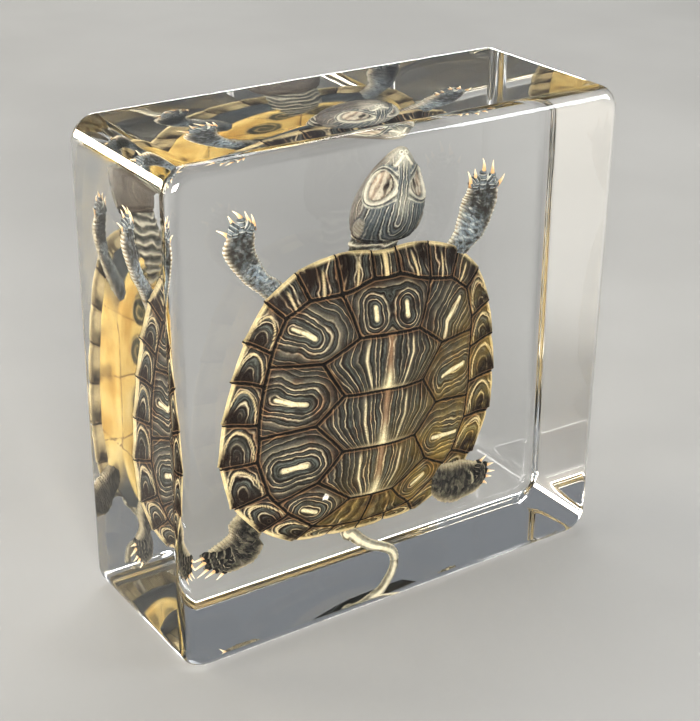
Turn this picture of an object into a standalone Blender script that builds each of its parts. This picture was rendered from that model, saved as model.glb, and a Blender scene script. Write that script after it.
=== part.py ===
"""A young pond turtle cast in a clear resin block.

The block stands on its narrow bottom face, front towards -Y, and its origin is
the centre of that face. It is parted in two at a plane through the turtle's
rim, so that the turtle lies in a pocket open on both halves. Shapes are worked
out in millimetres and scaled to metres when an object is made.
"""

import math

import bmesh
import bpy
from mathutils import Euler, Matrix, Vector

MM = 0.001

# Resin block
BLOCK_WIDTH = 75.0
BLOCK_DEPTH = 29.0
BLOCK_HEIGHT = 75.0
CORNER_RADIUS = 4.0
CORNER_SEGMENTS = 5
RIM_BEVEL = 2.0
RIM_SEGMENTS = 2
PARTING_Y = 7.0
PARTING_GAP = 0.3
POCKET_CLEARANCE = 0.6
POCKET_STEP = 0.03
POCKET_STEPS = 5
POCKET_SAMPLES = 20
POCKET_PARTS = (0.2, 0.45, 0.7, 0.88, 1.04)
POCKET_RIM = 1.04
POCKET_RIM_DROP = 1.0
TURTLE_CREASE = 35
RESIN_CREASE = 30

# Shell: where its rim plane sits in the block, and how it is turned
SHELL_CENTRE = (1.4, 8.0, 29.0)
SHELL_PITCH = 3.0
SHELL_ROLL = 4.6
SHELL_YAW = 2.8
DOME_HEIGHT = 8.8
SIDE_FLARE = 1.6
END_FALL = 3.0
RIM_THICKNESS = 0.9
NUCHAL_LIFT = 1.2
# the rear margin turns up, and leans (across, along) by so much for each millimetre of lift
REAR_LIFT = 4.7
REAR_LEAN = (-0.377, 0.42)

# Scutes
SEAM_STEP = 2.9
SEAM_WIDTH = 0.32
SEAM_DEPTH = 0.3
SCUTE_CROWN = 0.25
INNER_RING = 2.0
LARGE_SCUTE_AREA = 40.0

# Plastron: the flat belly plate and the bridge up to the carapace
PLASTRON_HALF_WIDTH = 16.6
PLASTRON_HALF_LENGTH = 21.0
PLASTRON_POWER = 2.3
PLASTRON_DROP = 4.0
PLATE_BEVEL = 0.5
PLATE_INSET = 0.93
MARGIN_INSET = 0.99
BRIDGE_ACROSS = 0.84
BRIDGE_ALONG = 0.92
BRIDGE_DROP = 1.6

# Right half of the seam network, seen from the front: (across, along) from the shell's centre.
# The rim and inner lists run from the nuchal scute at the neck round to the tail.
RIM = [
    (1.7, 23.8), (7.9, 24.0), (14.4, 22.1), (19.4, 17.9), (22.3, 12.0), (23.8, 6.2), (25.0, -0.2),
    (25.1, -7.0), (22.5, -14.3), (17.3, -19.5), (11.5, -22.5), (5.6, -22.9), (0.0, -23.2),
]
INNER = [
    (2.3, 20.3), (7.9, 18.7), (12.8, 18.0), (16.4, 15.6), (18.2, 10.5), (19.0, 5.2), (19.5, -0.9),
    (19.3, -6.9), (17.2, -12.5), (13.7, -16.5), (9.0, -19.9), (4.6, -20.9), (0.0, -21.2),
]
VERTEBRAL = {
    "v1_v2": (5.5, 12.0), "v2": (10.9, 8.4), "v2_v3": (7.3, 3.2), "v3": (11.1, -1.8),
    "v3_v4": (6.8, -6.0), "v4": (9.9, -11.3), "v4_v5": (3.9, -15.1),
}
COSTAL = {"c1_c2": (18.5, 8.3), "c2_c3": (19.4, -3.1), "c3_c4": (15.6, -14.4)}

# Head: its frame starts at the back of the skull and runs to the snout
HEAD_BACK = (3.0, 5.8, 54.3)
HEAD_SNOUT = (4.5, 0.2, 70.2)
# along the head: (distance, half width, crown height, throat depth)
HEAD_STATIONS = [
    (0.2, 4.2, 1.4, 3.6), (1.6, 5.5, 3.2, 4.4), (3.6, 6.1, 4.1, 4.8), (6.2, 6.1, 4.4, 4.6),
    (8.8, 5.2, 4.2, 4.1), (11.2, 4.0, 3.5, 3.3), (13.2, 2.5, 2.6, 2.3), (14.5, 1.5, 1.8, 1.3),
    (15.1, 0.9, 1.1, 0.7),
]
HEAD_SIDES = 16
# neck: (x, y, z), half width and half depth
NECK_STATIONS = [
    ((2.4, 8.6, 46.0), 4.6, 2.4), ((2.6, 9.2, 50.0), 4.3, 2.6), ((2.8, 8.8, 52.6), 4.2, 2.7),
    ((3.0, 7.4, 55.4), 4.2, 3.0), ((3.3, 5.4, 58.0), 3.0, 2.4),
]
EYE_ALONG = 10.2
EYE_UP = 1.9
EYE_OUT = 4.9
EYE_TILT = -20.0
EYE_RADII = (2.0, 2.5, 1.8)
EYE_BALL_SIDES = 12
EYE_BALL_ROWS = 8

# Limbs: each station is one edge, the other edge as (x, z), then y and the thickness.
# Each toe is its end and then its claw's tip, as (x, z).
LIMBS = {
    "front_left": {
        "stations": [
            ((-6.0, 45.0), (-9.5, 41.0), 9.0, 3.4), ((-13.1, 50.5), (-15.7, 48.6), 9.0, 3.0),
            ((-14.9, 51.9), (-17.9, 50.6), 9.3, 2.8), ((-15.9, 53.7), (-19.7, 52.7), 9.6, 2.6),
            ((-16.7, 56.1), (-21.5, 55.7), 10.0, 2.4), ((-16.5, 57.6), (-21.2, 57.4), 10.3, 2.1),
            ((-16.8, 59.0), (-20.2, 59.2), 10.4, 1.5),
        ],
        "toes": [
            ((-20.6, 57.9), (-22.3, 59.5)), ((-19.5, 60.0), (-20.4, 61.3)), ((-18.4, 60.9), (-19.7, 61.9)),
            ((-16.9, 59.7), (-17.7, 61.5)), ((-16.3, 58.3), (-16.7, 60.9)),
        ],
        "toe_y": 10.4,
        "claw_y": 10.9,
    },
    "front_right": {
        "stations": [
            ((10.0, 44.6), (13.6, 40.8), 9.3, 3.4), ((16.5, 50.8), (19.9, 48.5), 8.5, 3.0),
            ((17.4, 53.8), (22.1, 50.8), 7.5, 2.8), ((17.8, 57.0), (23.4, 54.0), 6.6, 2.5),
            ((18.4, 58.4), (24.2, 57.2), 6.2, 2.1), ((19.0, 60.0), (23.5, 59.6), 5.9, 1.5),
        ],
        "toes": [
            ((18.7, 59.2), (18.1, 62.0)), ((20.0, 60.5), (19.4, 62.2)), ((21.3, 61.6), (20.8, 63.6)),
            ((23.0, 60.9), (22.8, 63.0)), ((24.1, 58.5), (25.0, 60.5)),
        ],
        "toe_y": 5.8,
        "claw_y": 5.2,
    },
    "rear_left": {
        "stations": [
            ((-14.0, 20.0), (-11.0, 15.0), 9.0, 3.4), ((-20.9, 15.3), (-17.3, 10.8), 8.6, 3.2),
            ((-22.9, 14.0), (-17.4, 8.9), 7.8, 3.0), ((-23.3, 12.8), (-19.0, 7.2), 7.0, 2.6),
            ((-25.1, 12.1), (-21.5, 6.7), 6.5, 2.2), ((-26.9, 11.4), (-23.9, 6.7), 6.3, 1.8),
            ((-27.9, 10.7), (-26.0, 7.3), 6.3, 1.4),
        ],
        "toes": [
            ((-28.3, 11.1), (-30.1, 10.3)), ((-28.0, 10.1), (-30.3, 8.6)), ((-27.8, 8.7), (-29.1, 7.5)),
            ((-26.3, 7.6), (-27.8, 7.0)), ((-24.7, 6.8), (-25.9, 6.1)),
        ],
        "toe_y": 6.3,
        "claw_y": 6.2,
    },
    "rear_right": {
        "stations": [
            ((9.0, 17.5), (12.0, 12.5), 8.6, 3.4), ((14.7, 13.8), (14.1, 7.9), 7.0, 3.0),
            ((17.0, 13.4), (17.0, 6.2), 6.1, 2.7), ((18.8, 13.6), (19.5, 6.6), 5.4, 2.3),
            ((20.4, 13.1), (21.4, 7.3), 4.7, 2.0), ((21.8, 12.7), (22.7, 8.4), 4.3, 1.7),
            ((22.9, 12.2), (23.2, 9.4), 4.4, 1.3),
        ],
        "toes": [
            ((23.4, 9.7), (24.6, 9.2)), ((23.7, 10.8), (25.2, 10.1)), ((23.6, 12.0), (24.9, 11.6)),
            ((21.9, 13.0), (23.3, 13.4)), ((22.6, 8.6), (23.7, 8.1)),
        ],
        "toe_y": 4.4,
        "claw_y": 4.2,
    },
}
LIMB_SIDES = 10
ROD_SIDES = 6
WRIST_FROM_END = 3
TOE_RADIUS = 0.72
CLAW_RADIUS = 0.36
CLAW_TIP_RADIUS = 0.1
TOE_SINK = 1.0
TOE_OVERRUN = 0.12
TOE_SPREAD = (0.12, 0.88)
TOE_SWELL = (1.2, 0.75)
CLAW_SINK = 0.2

# Tail: (x, y, z) and radius
TAIL = [
    ((-0.4, 9.6, 12.0), 1.8), ((-2.9, 6.0, 7.6), 1.3), ((-2.3, 4.1, 6.8), 1.1), ((-1.4, 2.6, 5.9), 0.95),
    ((0.1, 1.9, 4.9), 0.85), ((2.0, 1.8, 4.0), 0.75), ((4.0, 2.9, 2.6), 0.65), ((4.7, 3.3, 1.7), 0.5),
]
TAIL_SIDES = 8

RESIN_COLOUR = (0.95, 0.96, 0.95, 1.0)
SHELL_COLOUR = (0.13, 0.11, 0.07, 1.0)
PLASTRON_COLOUR = (0.72, 0.52, 0.2, 1.0)
SKIN_COLOUR = (0.17, 0.18, 0.16, 1.0)
CLAW_COLOUR = (0.6, 0.36, 0.18, 1.0)
RESIN_ROUGHNESS = 0.03
SHELL_ROUGHNESS = 0.45
SKIN_ROUGHNESS = 0.55
SHELL_SLOT, PLASTRON_SLOT, SKIN_SLOT, CLAW_SLOT = range(4)


def material(name, colour, roughness, transmission=0.0):
    made = bpy.data.materials.new(name)
    made.use_nodes = True
    shader = made.node_tree.nodes["Principled BSDF"]
    shader.inputs["Base Color"].default_value = colour
    shader.inputs["Roughness"].default_value = roughness
    shader.inputs["Metallic"].default_value = 0.0
    shader.inputs["Transmission Weight"].default_value = transmission
    return made


def object_from(name, shape, collection, slot=0, materials=()):
    """A scene object, still in millimetres, from a bmesh whose faces all take one material slot."""
    bmesh.ops.recalc_face_normals(shape, faces=shape.faces)
    if shape.calc_volume(signed=True) < 0:
        bmesh.ops.reverse_faces(shape, faces=shape.faces)
    for face in shape.faces:
        if slot is not None:
            face.material_index = slot
    mesh = bpy.data.meshes.new(name)
    shape.to_mesh(mesh)
    shape.free()
    for item in materials:
        mesh.materials.append(item)
    made = bpy.data.objects.new(name, mesh)
    collection.objects.link(made)
    return made


def combine(base, others, operation):
    """Applies a Boolean of each other object to the base, and removes those objects."""
    for other in others:
        change = base.modifiers.new("combine", "BOOLEAN")
        change.operation = operation
        change.solver = "EXACT"
        change.object = other
    graph = bpy.context.evaluated_depsgraph_get()
    result = bpy.data.meshes.new_from_object(base.evaluated_get(graph))
    base.modifiers.clear()
    base.data = result
    for other in others:
        bpy.data.objects.remove(other)


def finish(made, smooth_angle):
    """Scales a finished object to metres and shades its round faces smooth."""
    made.data.transform(Matrix.Scale(MM, 4))
    made.data.shade_smooth()
    made.data.set_sharp_from_angle(angle=math.radians(smooth_angle))


def shell_matrix():
    """Shell axes: x across, y along towards the head, z out of the back, placed in the block."""
    upright = Matrix(((1, 0, 0), (0, 0, -1), (0, 1, 0))).to_4x4()
    turn = Euler((math.radians(SHELL_PITCH), math.radians(SHELL_ROLL), math.radians(SHELL_YAW)))
    return Matrix.Translation(SHELL_CENTRE) @ turn.to_matrix().to_4x4() @ upright


def rim_radius(angle):
    """Distance from the shell's centre to the straight-sided rim, at an angle from the tail."""
    direction = Vector((math.sin(angle), -math.cos(angle)))
    for (ax, ay), (bx, by) in zip(RIM, RIM[1:]):
        side = Vector((bx - ax, by - ay))
        across = direction.cross(side)
        if across == 0:
            continue
        along = Vector((ax, ay)).cross(side) / across
        place = Vector((ax, ay)).cross(direction) / across
        if along > 0 and 0 <= place <= 1:
            return along
    return RIM[0][1]


def dome(across, along):
    """Height of the carapace over its rim plane: flared at the sides, fuller at both ends."""
    distance = math.hypot(across, along)
    angle = math.atan2(abs(across), -along)
    part = min(distance / rim_radius(angle), 1.0)
    sideways = math.sin(angle) ** 2
    side = ((1 + math.cos(math.pi * part)) / 2 + math.cos(math.pi * part / 2) ** SIDE_FLARE) / 2
    end = 1 - part ** END_FALL
    lift = NUCHAL_LIFT * part ** 2 * max(-math.cos(angle), 0) ** 4
    return DOME_HEIGHT * (sideways * side + (1 - sideways) * end) + lift


def lifted(across, along, height):
    """A point of the shell once its rear margin is turned up."""
    angle = math.atan2(abs(across), -along)
    part = min(math.hypot(across, along) / rim_radius(angle), 1.0)
    lift = REAR_LIFT * (part * max(math.cos(angle), 0)) ** 3
    return Vector((across + REAR_LEAN[0] * lift, along + REAR_LEAN[1] * lift, height + lift))


def seam_network(shape):
    """Adds the scutes as flat polygons that share their seams."""
    corners = {}

    def corner(place, side):
        key = (place[0] * side, place[1])
        if key not in corners:
            corners[key] = shape.verts.new((key[0], key[1], 0.0))
        return corners[key]

    def scute(places):
        shape.faces.new([corner(place, side) for place, side in places])

    outer_costal = {5: "c1_c2", 7: "c2_c3", 9: "c3_c4"}
    for side in (1, -1):
        for i in range(1, len(RIM)):
            places = [RIM[i - 1], RIM[i], INNER[i]]
            if i in outer_costal:
                places.append(COSTAL[outer_costal[i]])
            places.append(INNER[i - 1])
            scute([(place, side) for place in places])
        v, c = VERTEBRAL, COSTAL
        costals = [
            [INNER[1], INNER[2], INNER[3], INNER[4], c["c1_c2"], v["v2"], v["v1_v2"]],
            [v["v2"], c["c1_c2"], INNER[5], INNER[6], c["c2_c3"], v["v3"], v["v2_v3"]],
            [v["v3"], c["c2_c3"], INNER[7], INNER[8], c["c3_c4"], v["v4"], v["v3_v4"]],
            [v["v4"], c["c3_c4"], INNER[9], INNER[10], v["v4_v5"]],
        ]
        for places in costals:
            scute([(place, side) for place in places])
    middle = [
        [RIM[0], INNER[0]],
        [INNER[0], INNER[1], v["v1_v2"]],
        [v["v1_v2"], v["v2"], v["v2_v3"]],
        [v["v2_v3"], v["v3"], v["v3_v4"]],
        [v["v3_v4"], v["v4"], v["v4_v5"]],
        [v["v4_v5"], INNER[10], INNER[11]],
    ]
    for places in middle:
        right = [(place, 1) for place in places]
        left = [(place, -1) for place in reversed(places)]
        if places[-1] == INNER[11]:
            right.append((INNER[12], 1))
        scute(right + left)


def split_long_edges(shape, step):
    """Spaces points evenly along each edge that is longer than a step."""
    for edge in list(shape.edges):
        start = edge.verts[0]
        for left in range(math.ceil(edge.calc_length() / step), 1, -1):
            _, start = bmesh.utils.edge_split(edge, start, 1 / left)


def plastron_point(angle, scale):
    """A point of the belly plate's outline, at an angle from the tail."""
    across = abs(math.sin(angle) / PLASTRON_HALF_WIDTH) ** PLASTRON_POWER
    along = abs(math.cos(angle) / PLASTRON_HALF_LENGTH) ** PLASTRON_POWER
    radius = scale * (across + along) ** (-1 / PLASTRON_POWER)
    return radius * math.sin(angle), -radius * math.cos(angle)


def margin_point(rim):
    return rim.x * MARGIN_INSET, rim.y * MARGIN_INSET, rim.z - RIM_THICKNESS


def bridge_point(rim):
    return rim.x * BRIDGE_ACROSS, rim.y * BRIDGE_ALONG, -BRIDGE_DROP


def plate_edge_point(rim):
    return *plastron_point(math.atan2(rim.x, -rim.y), 1.0), PLATE_BEVEL - PLASTRON_DROP


def plate_point(rim):
    return *plastron_point(math.atan2(rim.x, -rim.y), PLATE_INSET), -PLASTRON_DROP


def add_underside(shape):
    """Closes the shell below its rim: turned margin, bridge and flat belly plate."""
    rim = [vertex for vertex in shape.verts if vertex.is_boundary]
    rim.sort(key=lambda vertex: math.atan2(vertex.co.x, -vertex.co.y))
    high, slot = rim, SHELL_SLOT
    for place in (margin_point, bridge_point, plate_edge_point, plate_point):
        low = [shape.verts.new(place(vertex.co)) for vertex in rim]
        for i in range(len(rim)):
            shape.faces.new((high[i - 1], high[i], low[i], low[i - 1])).material_index = slot
        high, slot = low, PLASTRON_SLOT
    middle = shape.verts.new((0, 0, -PLASTRON_DROP))
    for i in range(len(rim)):
        shape.faces.new((high[i - 1], high[i], middle)).material_index = slot


def shell(collection, materials):
    """Carapace with seams between its scutes, bridge and plastron, as one closed body."""
    shape = bmesh.new()
    seam_network(shape)
    bmesh.ops.recalc_face_normals(shape, faces=shape.faces)
    if shape.faces[0].normal.z < 0:
        bmesh.ops.reverse_faces(shape, faces=shape.faces)
    split_long_edges(shape, SEAM_STEP)
    seams = set(shape.verts)
    scutes = list(shape.faces)
    bmesh.ops.inset_individual(shape, faces=scutes, thickness=SEAM_WIDTH, use_even_offset=True)
    large = [face for face in scutes if face.calc_area() > LARGE_SCUTE_AREA]
    bmesh.ops.inset_individual(shape, faces=large, thickness=INNER_RING, use_even_offset=True)
    before = set(shape.verts)
    bmesh.ops.poke(shape, faces=scutes)
    crowns = set(shape.verts) - before
    for vertex in shape.verts:
        vertex.co.z = dome(vertex.co.x, vertex.co.y)
        if vertex in seams and not vertex.is_boundary:
            vertex.co.z -= SEAM_DEPTH
        elif vertex in crowns:
            vertex.co.z += SCUTE_CROWN
        vertex.co = lifted(*vertex.co)
    add_underside(shape)
    shape.transform(shell_matrix())
    return object_from("turtle", shape, collection, None, materials)


def ring_points(centre, half_side, half_depth, sides, back_depth=None):
    """An oval of points round a centre, its two half axes given as vectors."""
    back = half_depth if back_depth is None else back_depth
    points = []
    for i in range(sides):
        turn = 2 * math.pi * i / sides
        depth = half_depth if math.sin(turn) > 0 else back
        points.append(centre + math.cos(turn) * half_side + math.sin(turn) * depth)
    return points


def loft(rings):
    """A closed skin through rings of equal point counts."""
    shape = bmesh.new()
    rows = [[shape.verts.new(point) for point in ring] for ring in rings]
    for low, high in zip(rows, rows[1:]):
        for i in range(len(low)):
            j = (i + 1) % len(low)
            shape.faces.new((low[i], low[j], high[j], high[i]))
    shape.faces.new(list(reversed(rows[0])))
    shape.faces.new(rows[-1])
    return shape


def head_axes():
    back = Vector(HEAD_BACK)
    forward = (Vector(HEAD_SNOUT) - back).normalized()
    crown = Vector((1, 0, 0)).cross(forward).normalized()
    right = forward.cross(crown)
    return back, forward, crown, right


def head_rings():
    back, forward, crown, right = head_axes()
    rings = []
    for along, half_width, up, down in HEAD_STATIONS:
        centre = back + forward * along
        rings.append(ring_points(centre, right * half_width, crown * up, HEAD_SIDES, crown * down))
    return rings


def neck_rings():
    rings = []
    for centre, half_width, half_depth in NECK_STATIONS:
        side, depth = Vector((half_width, 0, 0)), Vector((0, half_depth, 0))
        rings.append(ring_points(Vector(centre), side, depth, HEAD_SIDES))
    return rings


def eye_cutters(collection):
    """Two oval balls whose overlap with the head makes the shallow eye sockets."""
    back, forward, crown, right = head_axes()
    balls = []
    for side in (1, -1):
        shape = bmesh.new()
        bmesh.ops.create_uvsphere(shape, u_segments=EYE_BALL_SIDES, v_segments=EYE_BALL_ROWS, radius=1.0)
        centre = back + forward * EYE_ALONG + crown * EYE_UP + right * EYE_OUT * side
        out, long, tall = EYE_RADII
        tilt = math.radians(EYE_TILT)
        length = forward * math.cos(tilt) + crown * math.sin(tilt)
        height = crown * math.cos(tilt) - forward * math.sin(tilt)
        axes = Matrix((right * out, length * long, height * tall)).transposed().to_4x4()
        shape.transform(Matrix.Translation(centre) @ axes)
        balls.append(object_from("eye_cutter", shape, collection))
        balls[-1].hide_render = True
        balls[-1].display_type = "WIRE"
    return balls


def limb_rings(limb):
    """Oval sections of a leg between its two measured edges."""
    rings = []
    for (ax, az), (bx, bz), y, thickness in limb["stations"]:
        a, b = Vector((ax, y, az)), Vector((bx, y, bz))
        rings.append(ring_points((a + b) / 2, (a - b) / 2, Vector((0, thickness / 2, 0)), LIMB_SIDES))
    return rings


def toe_line(limb, toe):
    """Root, knuckle end and claw tip of one toe."""
    (ex, ez), (tx, tz) = toe
    (ax, az), (bx, bz), y, _ = limb["stations"][-1]
    edge = Vector((bx - ax, bz - az))
    share = Vector((ex - ax, ez - az)).dot(edge) / edge.length_squared
    share = min(max(share, TOE_SPREAD[0]), TOE_SPREAD[1])
    root = Vector((ax + edge.x * share, y, az + edge.y * share))
    end = Vector((ex, limb["toe_y"], ez))
    tip = Vector((tx, limb["claw_y"], tz))
    return root + (root - end).normalized() * TOE_SINK, end, tip


def rod(start, end, start_radius, end_radius, sides=ROD_SIDES):
    """A tapered round rod between two points."""
    away = (end - start).normalized()
    side = away.orthogonal().normalized()
    other = away.cross(side)
    rings = [
        ring_points(start, side * start_radius, other * start_radius, sides),
        ring_points(end, side * end_radius, other * end_radius, sides),
    ]
    return loft(rings)


def limb_objects(name, limb, collection, materials):
    """A leg, its toes and its claws, still separate bodies that overlap."""
    parts = [object_from(name, loft(limb_rings(limb)), collection, SKIN_SLOT, materials)]
    for toe in limb["toes"]:
        root, end, tip = toe_line(limb, toe)
        digit = rod(root, end.lerp(tip, TOE_OVERRUN), TOE_RADIUS * TOE_SWELL[0], TOE_RADIUS * TOE_SWELL[1])
        parts.append(object_from(name + "_toe", digit, collection, SKIN_SLOT, materials))
        claw = rod(end.lerp(root, CLAW_SINK), tip, CLAW_RADIUS, CLAW_TIP_RADIUS, 5)
        parts.append(object_from(name + "_claw", claw, collection, CLAW_SLOT, materials))
    return parts


def tail_rings():
    rings = []
    places = [Vector(place) for place, _ in TAIL]
    for i, (_, radius) in enumerate(TAIL):
        before, after = places[max(i - 1, 0)], places[min(i + 1, len(places) - 1)]
        away = (after - before).normalized()
        side = away.cross(Vector((0, 1, 0))).normalized()
        rings.append(ring_points(places[i], side * radius, side.cross(away) * radius, TAIL_SIDES))
    return rings


def turtle(collection, cutters, materials):
    body = shell(collection, materials)
    skull = object_from("head", loft(head_rings()), collection, SKIN_SLOT, materials)
    combine(skull, eye_cutters(cutters), "DIFFERENCE")
    grown = [
        object_from("neck", loft(neck_rings()), collection, SKIN_SLOT, materials),
        skull,
        object_from("tail", loft(tail_rings()), collection, SKIN_SLOT, materials),
    ]
    for name, limb in LIMBS.items():
        grown += limb_objects(name, limb, collection, materials)
    combine(body, grown, "UNION")
    return body


def grown_hull(points, clearance, collection):
    """The convex hull of some points, each pushed out by the clearance along six directions."""
    shape = bmesh.new()
    for point in points:
        for axis in range(3):
            for way in (-clearance, clearance):
                moved = Vector(point)
                moved[axis] += way
                shape.verts.new(moved)
    result = bmesh.ops.convex_hull(shape, input=shape.verts)
    inside = {item for key in ("geom_interior", "geom_unused") for item in result[key]}
    loose = [item for item in inside if isinstance(item, bmesh.types.BMVert)]
    bmesh.ops.delete(shape, geom=loose, context="VERTS")
    made = object_from("pocket", shape, collection)
    made.hide_render = True
    made.display_type = "WIRE"
    return made


def shell_pocket_points():
    """Points of the shell's outer form, coarse enough for a simple pocket."""
    matrix = shell_matrix()
    points = []
    for i in range(POCKET_SAMPLES):
        angle = 2 * math.pi * i / POCKET_SAMPLES - math.pi
        outward = rim_radius(abs(angle)) * Vector((math.sin(angle), -math.cos(angle)))
        for part in POCKET_PARTS:
            x, y = outward * part
            points.append(matrix @ lifted(x, y, dome(x, y)))
        x, y = outward * POCKET_RIM
        points.append(matrix @ Vector((x, y, -POCKET_RIM_DROP)))
        points.append(matrix @ Vector((*plastron_point(angle, 1.0), -PLASTRON_DROP)))
    return points


def pocket_spaces():
    """The stretches of the turtle that each get a convex space: their points and their clearance."""
    head = head_rings()
    spaces = [
        (shell_pocket_points(), POCKET_CLEARANCE),
        (sum(head[1:], []), POCKET_CLEARANCE),
        (sum(neck_rings()[1:] + head[:2], []), POCKET_CLEARANCE),
    ]
    for limb in LIMBS.values():
        rings = limb_rings(limb)
        lines = [toe_line(limb, toe) for toe in limb["toes"]]
        toes = [line[1] for line in lines]
        claws = [line[2] for line in lines]
        wrist = len(rings) - WRIST_FROM_END
        spaces.append((sum(rings[: wrist + 1], []), POCKET_CLEARANCE))
        spaces.append((sum(rings[wrist:], []) + toes, POCKET_CLEARANCE))
        spaces.append((rings[-1] + toes + claws, POCKET_CLEARANCE + TOE_RADIUS))
    tail = tail_rings()
    for low, high in zip(tail, tail[1:]):
        spaces.append((low + high, POCKET_CLEARANCE))
    return spaces


def pocket(cutters):
    """The hollow that the turtle lies in. Its spaces grow a step each, so no two share a face."""
    hulls = []
    for i, (points, clearance) in enumerate(pocket_spaces()):
        hulls.append(grown_hull(points, clearance + (i % POCKET_STEPS) * POCKET_STEP, cutters))
    combine(hulls[0], hulls[1:], "UNION")
    return hulls[0]


def block_half(name, cut_y, way, collection, materials):
    """The block on one side of a plane parallel to its front, its corners round and its rims eased."""
    shape = bmesh.new()
    bmesh.ops.create_cube(shape, size=1.0)
    size = Matrix.Diagonal((BLOCK_WIDTH, BLOCK_DEPTH, BLOCK_HEIGHT, 1.0))
    shape.transform(Matrix.Translation((0, 0, BLOCK_HEIGHT / 2)) @ size)
    deep = [edge for edge in shape.edges if edge.verts[0].co.y != edge.verts[1].co.y]
    bmesh.ops.bevel(
        shape, geom=deep, offset=CORNER_RADIUS, offset_type="OFFSET",
        segments=CORNER_SEGMENTS, profile=0.5, affect="EDGES",
    )
    ends = [face for face in shape.faces if abs(face.normal.y) > 0.5]
    rims = [edge for face in ends for edge in face.edges]
    bmesh.ops.bevel(
        shape, geom=rims, offset=RIM_BEVEL, offset_type="OFFSET",
        segments=RIM_SEGMENTS, profile=0.5, affect="EDGES",
    )
    cut = bmesh.ops.bisect_plane(
        shape, geom=shape.verts[:] + shape.edges[:] + shape.faces[:],
        plane_co=(0, cut_y, 0), plane_no=(0, way, 0), clear_outer=True,
    )["geom_cut"]
    edges = [item for item in cut if isinstance(item, bmesh.types.BMEdge)]
    bmesh.ops.contextual_create(shape, geom=edges)
    return object_from(name, shape, collection, 0, materials)


def resin(collection, cutters, materials):
    """Both halves of the casting, each with its side of the turtle's pocket."""
    halves = [
        block_half("resin_front", PARTING_Y - PARTING_GAP / 2, 1, collection, materials),
        block_half("resin_back", PARTING_Y + PARTING_GAP / 2, -1, collection, materials),
    ]
    for half in halves:
        combine(half, [pocket(cutters)], "DIFFERENCE")
    return halves


def new_collection(name):
    made = bpy.data.collections.new(name)
    bpy.context.scene.collection.children.link(made)
    return made


def main():
    for old in list(bpy.data.objects):
        bpy.data.objects.remove(old)
    parts = new_collection("turtle_in_resin_block")
    cutters = new_collection("cutters")
    clear = material("resin", RESIN_COLOUR, RESIN_ROUGHNESS, transmission=1.0)
    animal = [
        material("carapace", SHELL_COLOUR, SHELL_ROUGHNESS),
        material("plastron", PLASTRON_COLOUR, SHELL_ROUGHNESS),
        material("skin", SKIN_COLOUR, SKIN_ROUGHNESS),
        material("claw", CLAW_COLOUR, SHELL_ROUGHNESS),
    ]
    finish(turtle(parts, cutters, animal), TURTLE_CREASE)
    for half in resin(parts, cutters, [clear]):
        finish(half, RESIN_CREASE)


main()
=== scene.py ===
"""The look of a young pond turtle cast in a clear resin block, standing on a pale floor.

Shapes are worked out in millimetres, in the frame's own axes, and scaled to
metres when a piece is made. A mark is one number per point of a mesh, which the
piece's material reads as an attribute: stripe phase, seam distance and so on.
"""

import math
from types import SimpleNamespace

import bmesh
import bpy
import numpy as np
from mathutils import Euler, Matrix, Vector


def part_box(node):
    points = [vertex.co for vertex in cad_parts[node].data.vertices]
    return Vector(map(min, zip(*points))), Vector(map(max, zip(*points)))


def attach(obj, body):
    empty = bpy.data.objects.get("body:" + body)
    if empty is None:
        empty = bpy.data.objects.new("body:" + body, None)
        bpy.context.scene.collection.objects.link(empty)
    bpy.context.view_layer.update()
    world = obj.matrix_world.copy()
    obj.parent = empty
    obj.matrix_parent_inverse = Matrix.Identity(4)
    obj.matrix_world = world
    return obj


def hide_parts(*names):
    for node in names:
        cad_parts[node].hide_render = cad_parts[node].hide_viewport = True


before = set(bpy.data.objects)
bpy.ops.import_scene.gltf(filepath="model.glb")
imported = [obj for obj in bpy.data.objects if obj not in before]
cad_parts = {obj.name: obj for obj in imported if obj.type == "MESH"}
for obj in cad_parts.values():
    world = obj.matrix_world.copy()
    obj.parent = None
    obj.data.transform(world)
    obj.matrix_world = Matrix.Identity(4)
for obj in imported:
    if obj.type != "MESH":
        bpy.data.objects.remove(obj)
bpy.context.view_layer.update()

MM = 0.001

# Camera, as the photograph has it
CAMERA_PLACE = (-0.122985, -0.180870, 0.137051)
CAMERA_AZIMUTH = -34.161
CAMERA_ELEVATION = 25.144
CAMERA_ROLL = 0.563
CAMERA_LENS = 79.93
CAMERA_SENSOR = 36.0

# Resin block
CORNER_RADIUS = 4.0
RIM_BEVEL = 2.0
RESIN_IOR = 1.49
RESIN_TINT = (0.9, 0.94, 0.92, 1.0)
RESIN_DENSITY = 3.0

# Shell: where its rim plane sits in the block, and how it is turned
SHELL_CENTRE = (1.4, 8.0, 29.0)
SHELL_PITCH = 3.0
SHELL_ROLL = 4.6
SHELL_YAW = 2.8
DOME_HEIGHT = 8.8
SIDE_FLARE = 1.6
END_FALL = 3.0
NUCHAL_LIFT = 1.2
# the rear margin turns up, and leans (across, along) by so much for each millimetre of lift
REAR_LIFT = 4.7
REAR_LEAN = (-0.377, 0.42)
PLASTRON_HALF_WIDTH = 16.6
PLASTRON_HALF_LENGTH = 21.0
PLASTRON_POWER = 2.3
PLASTRON_DROP = 4.0
# the wall from the rim to the belly plate: the share of the rim's (across, along) at its top,
# its top, how far it falls, and its rows of points
WALL_EDGE = (0.87, 0.94)
WALL_TOP = -1.2
WALL_FALL = PLASTRON_DROP - 1.7
WALL_ROWS = 12

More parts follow.
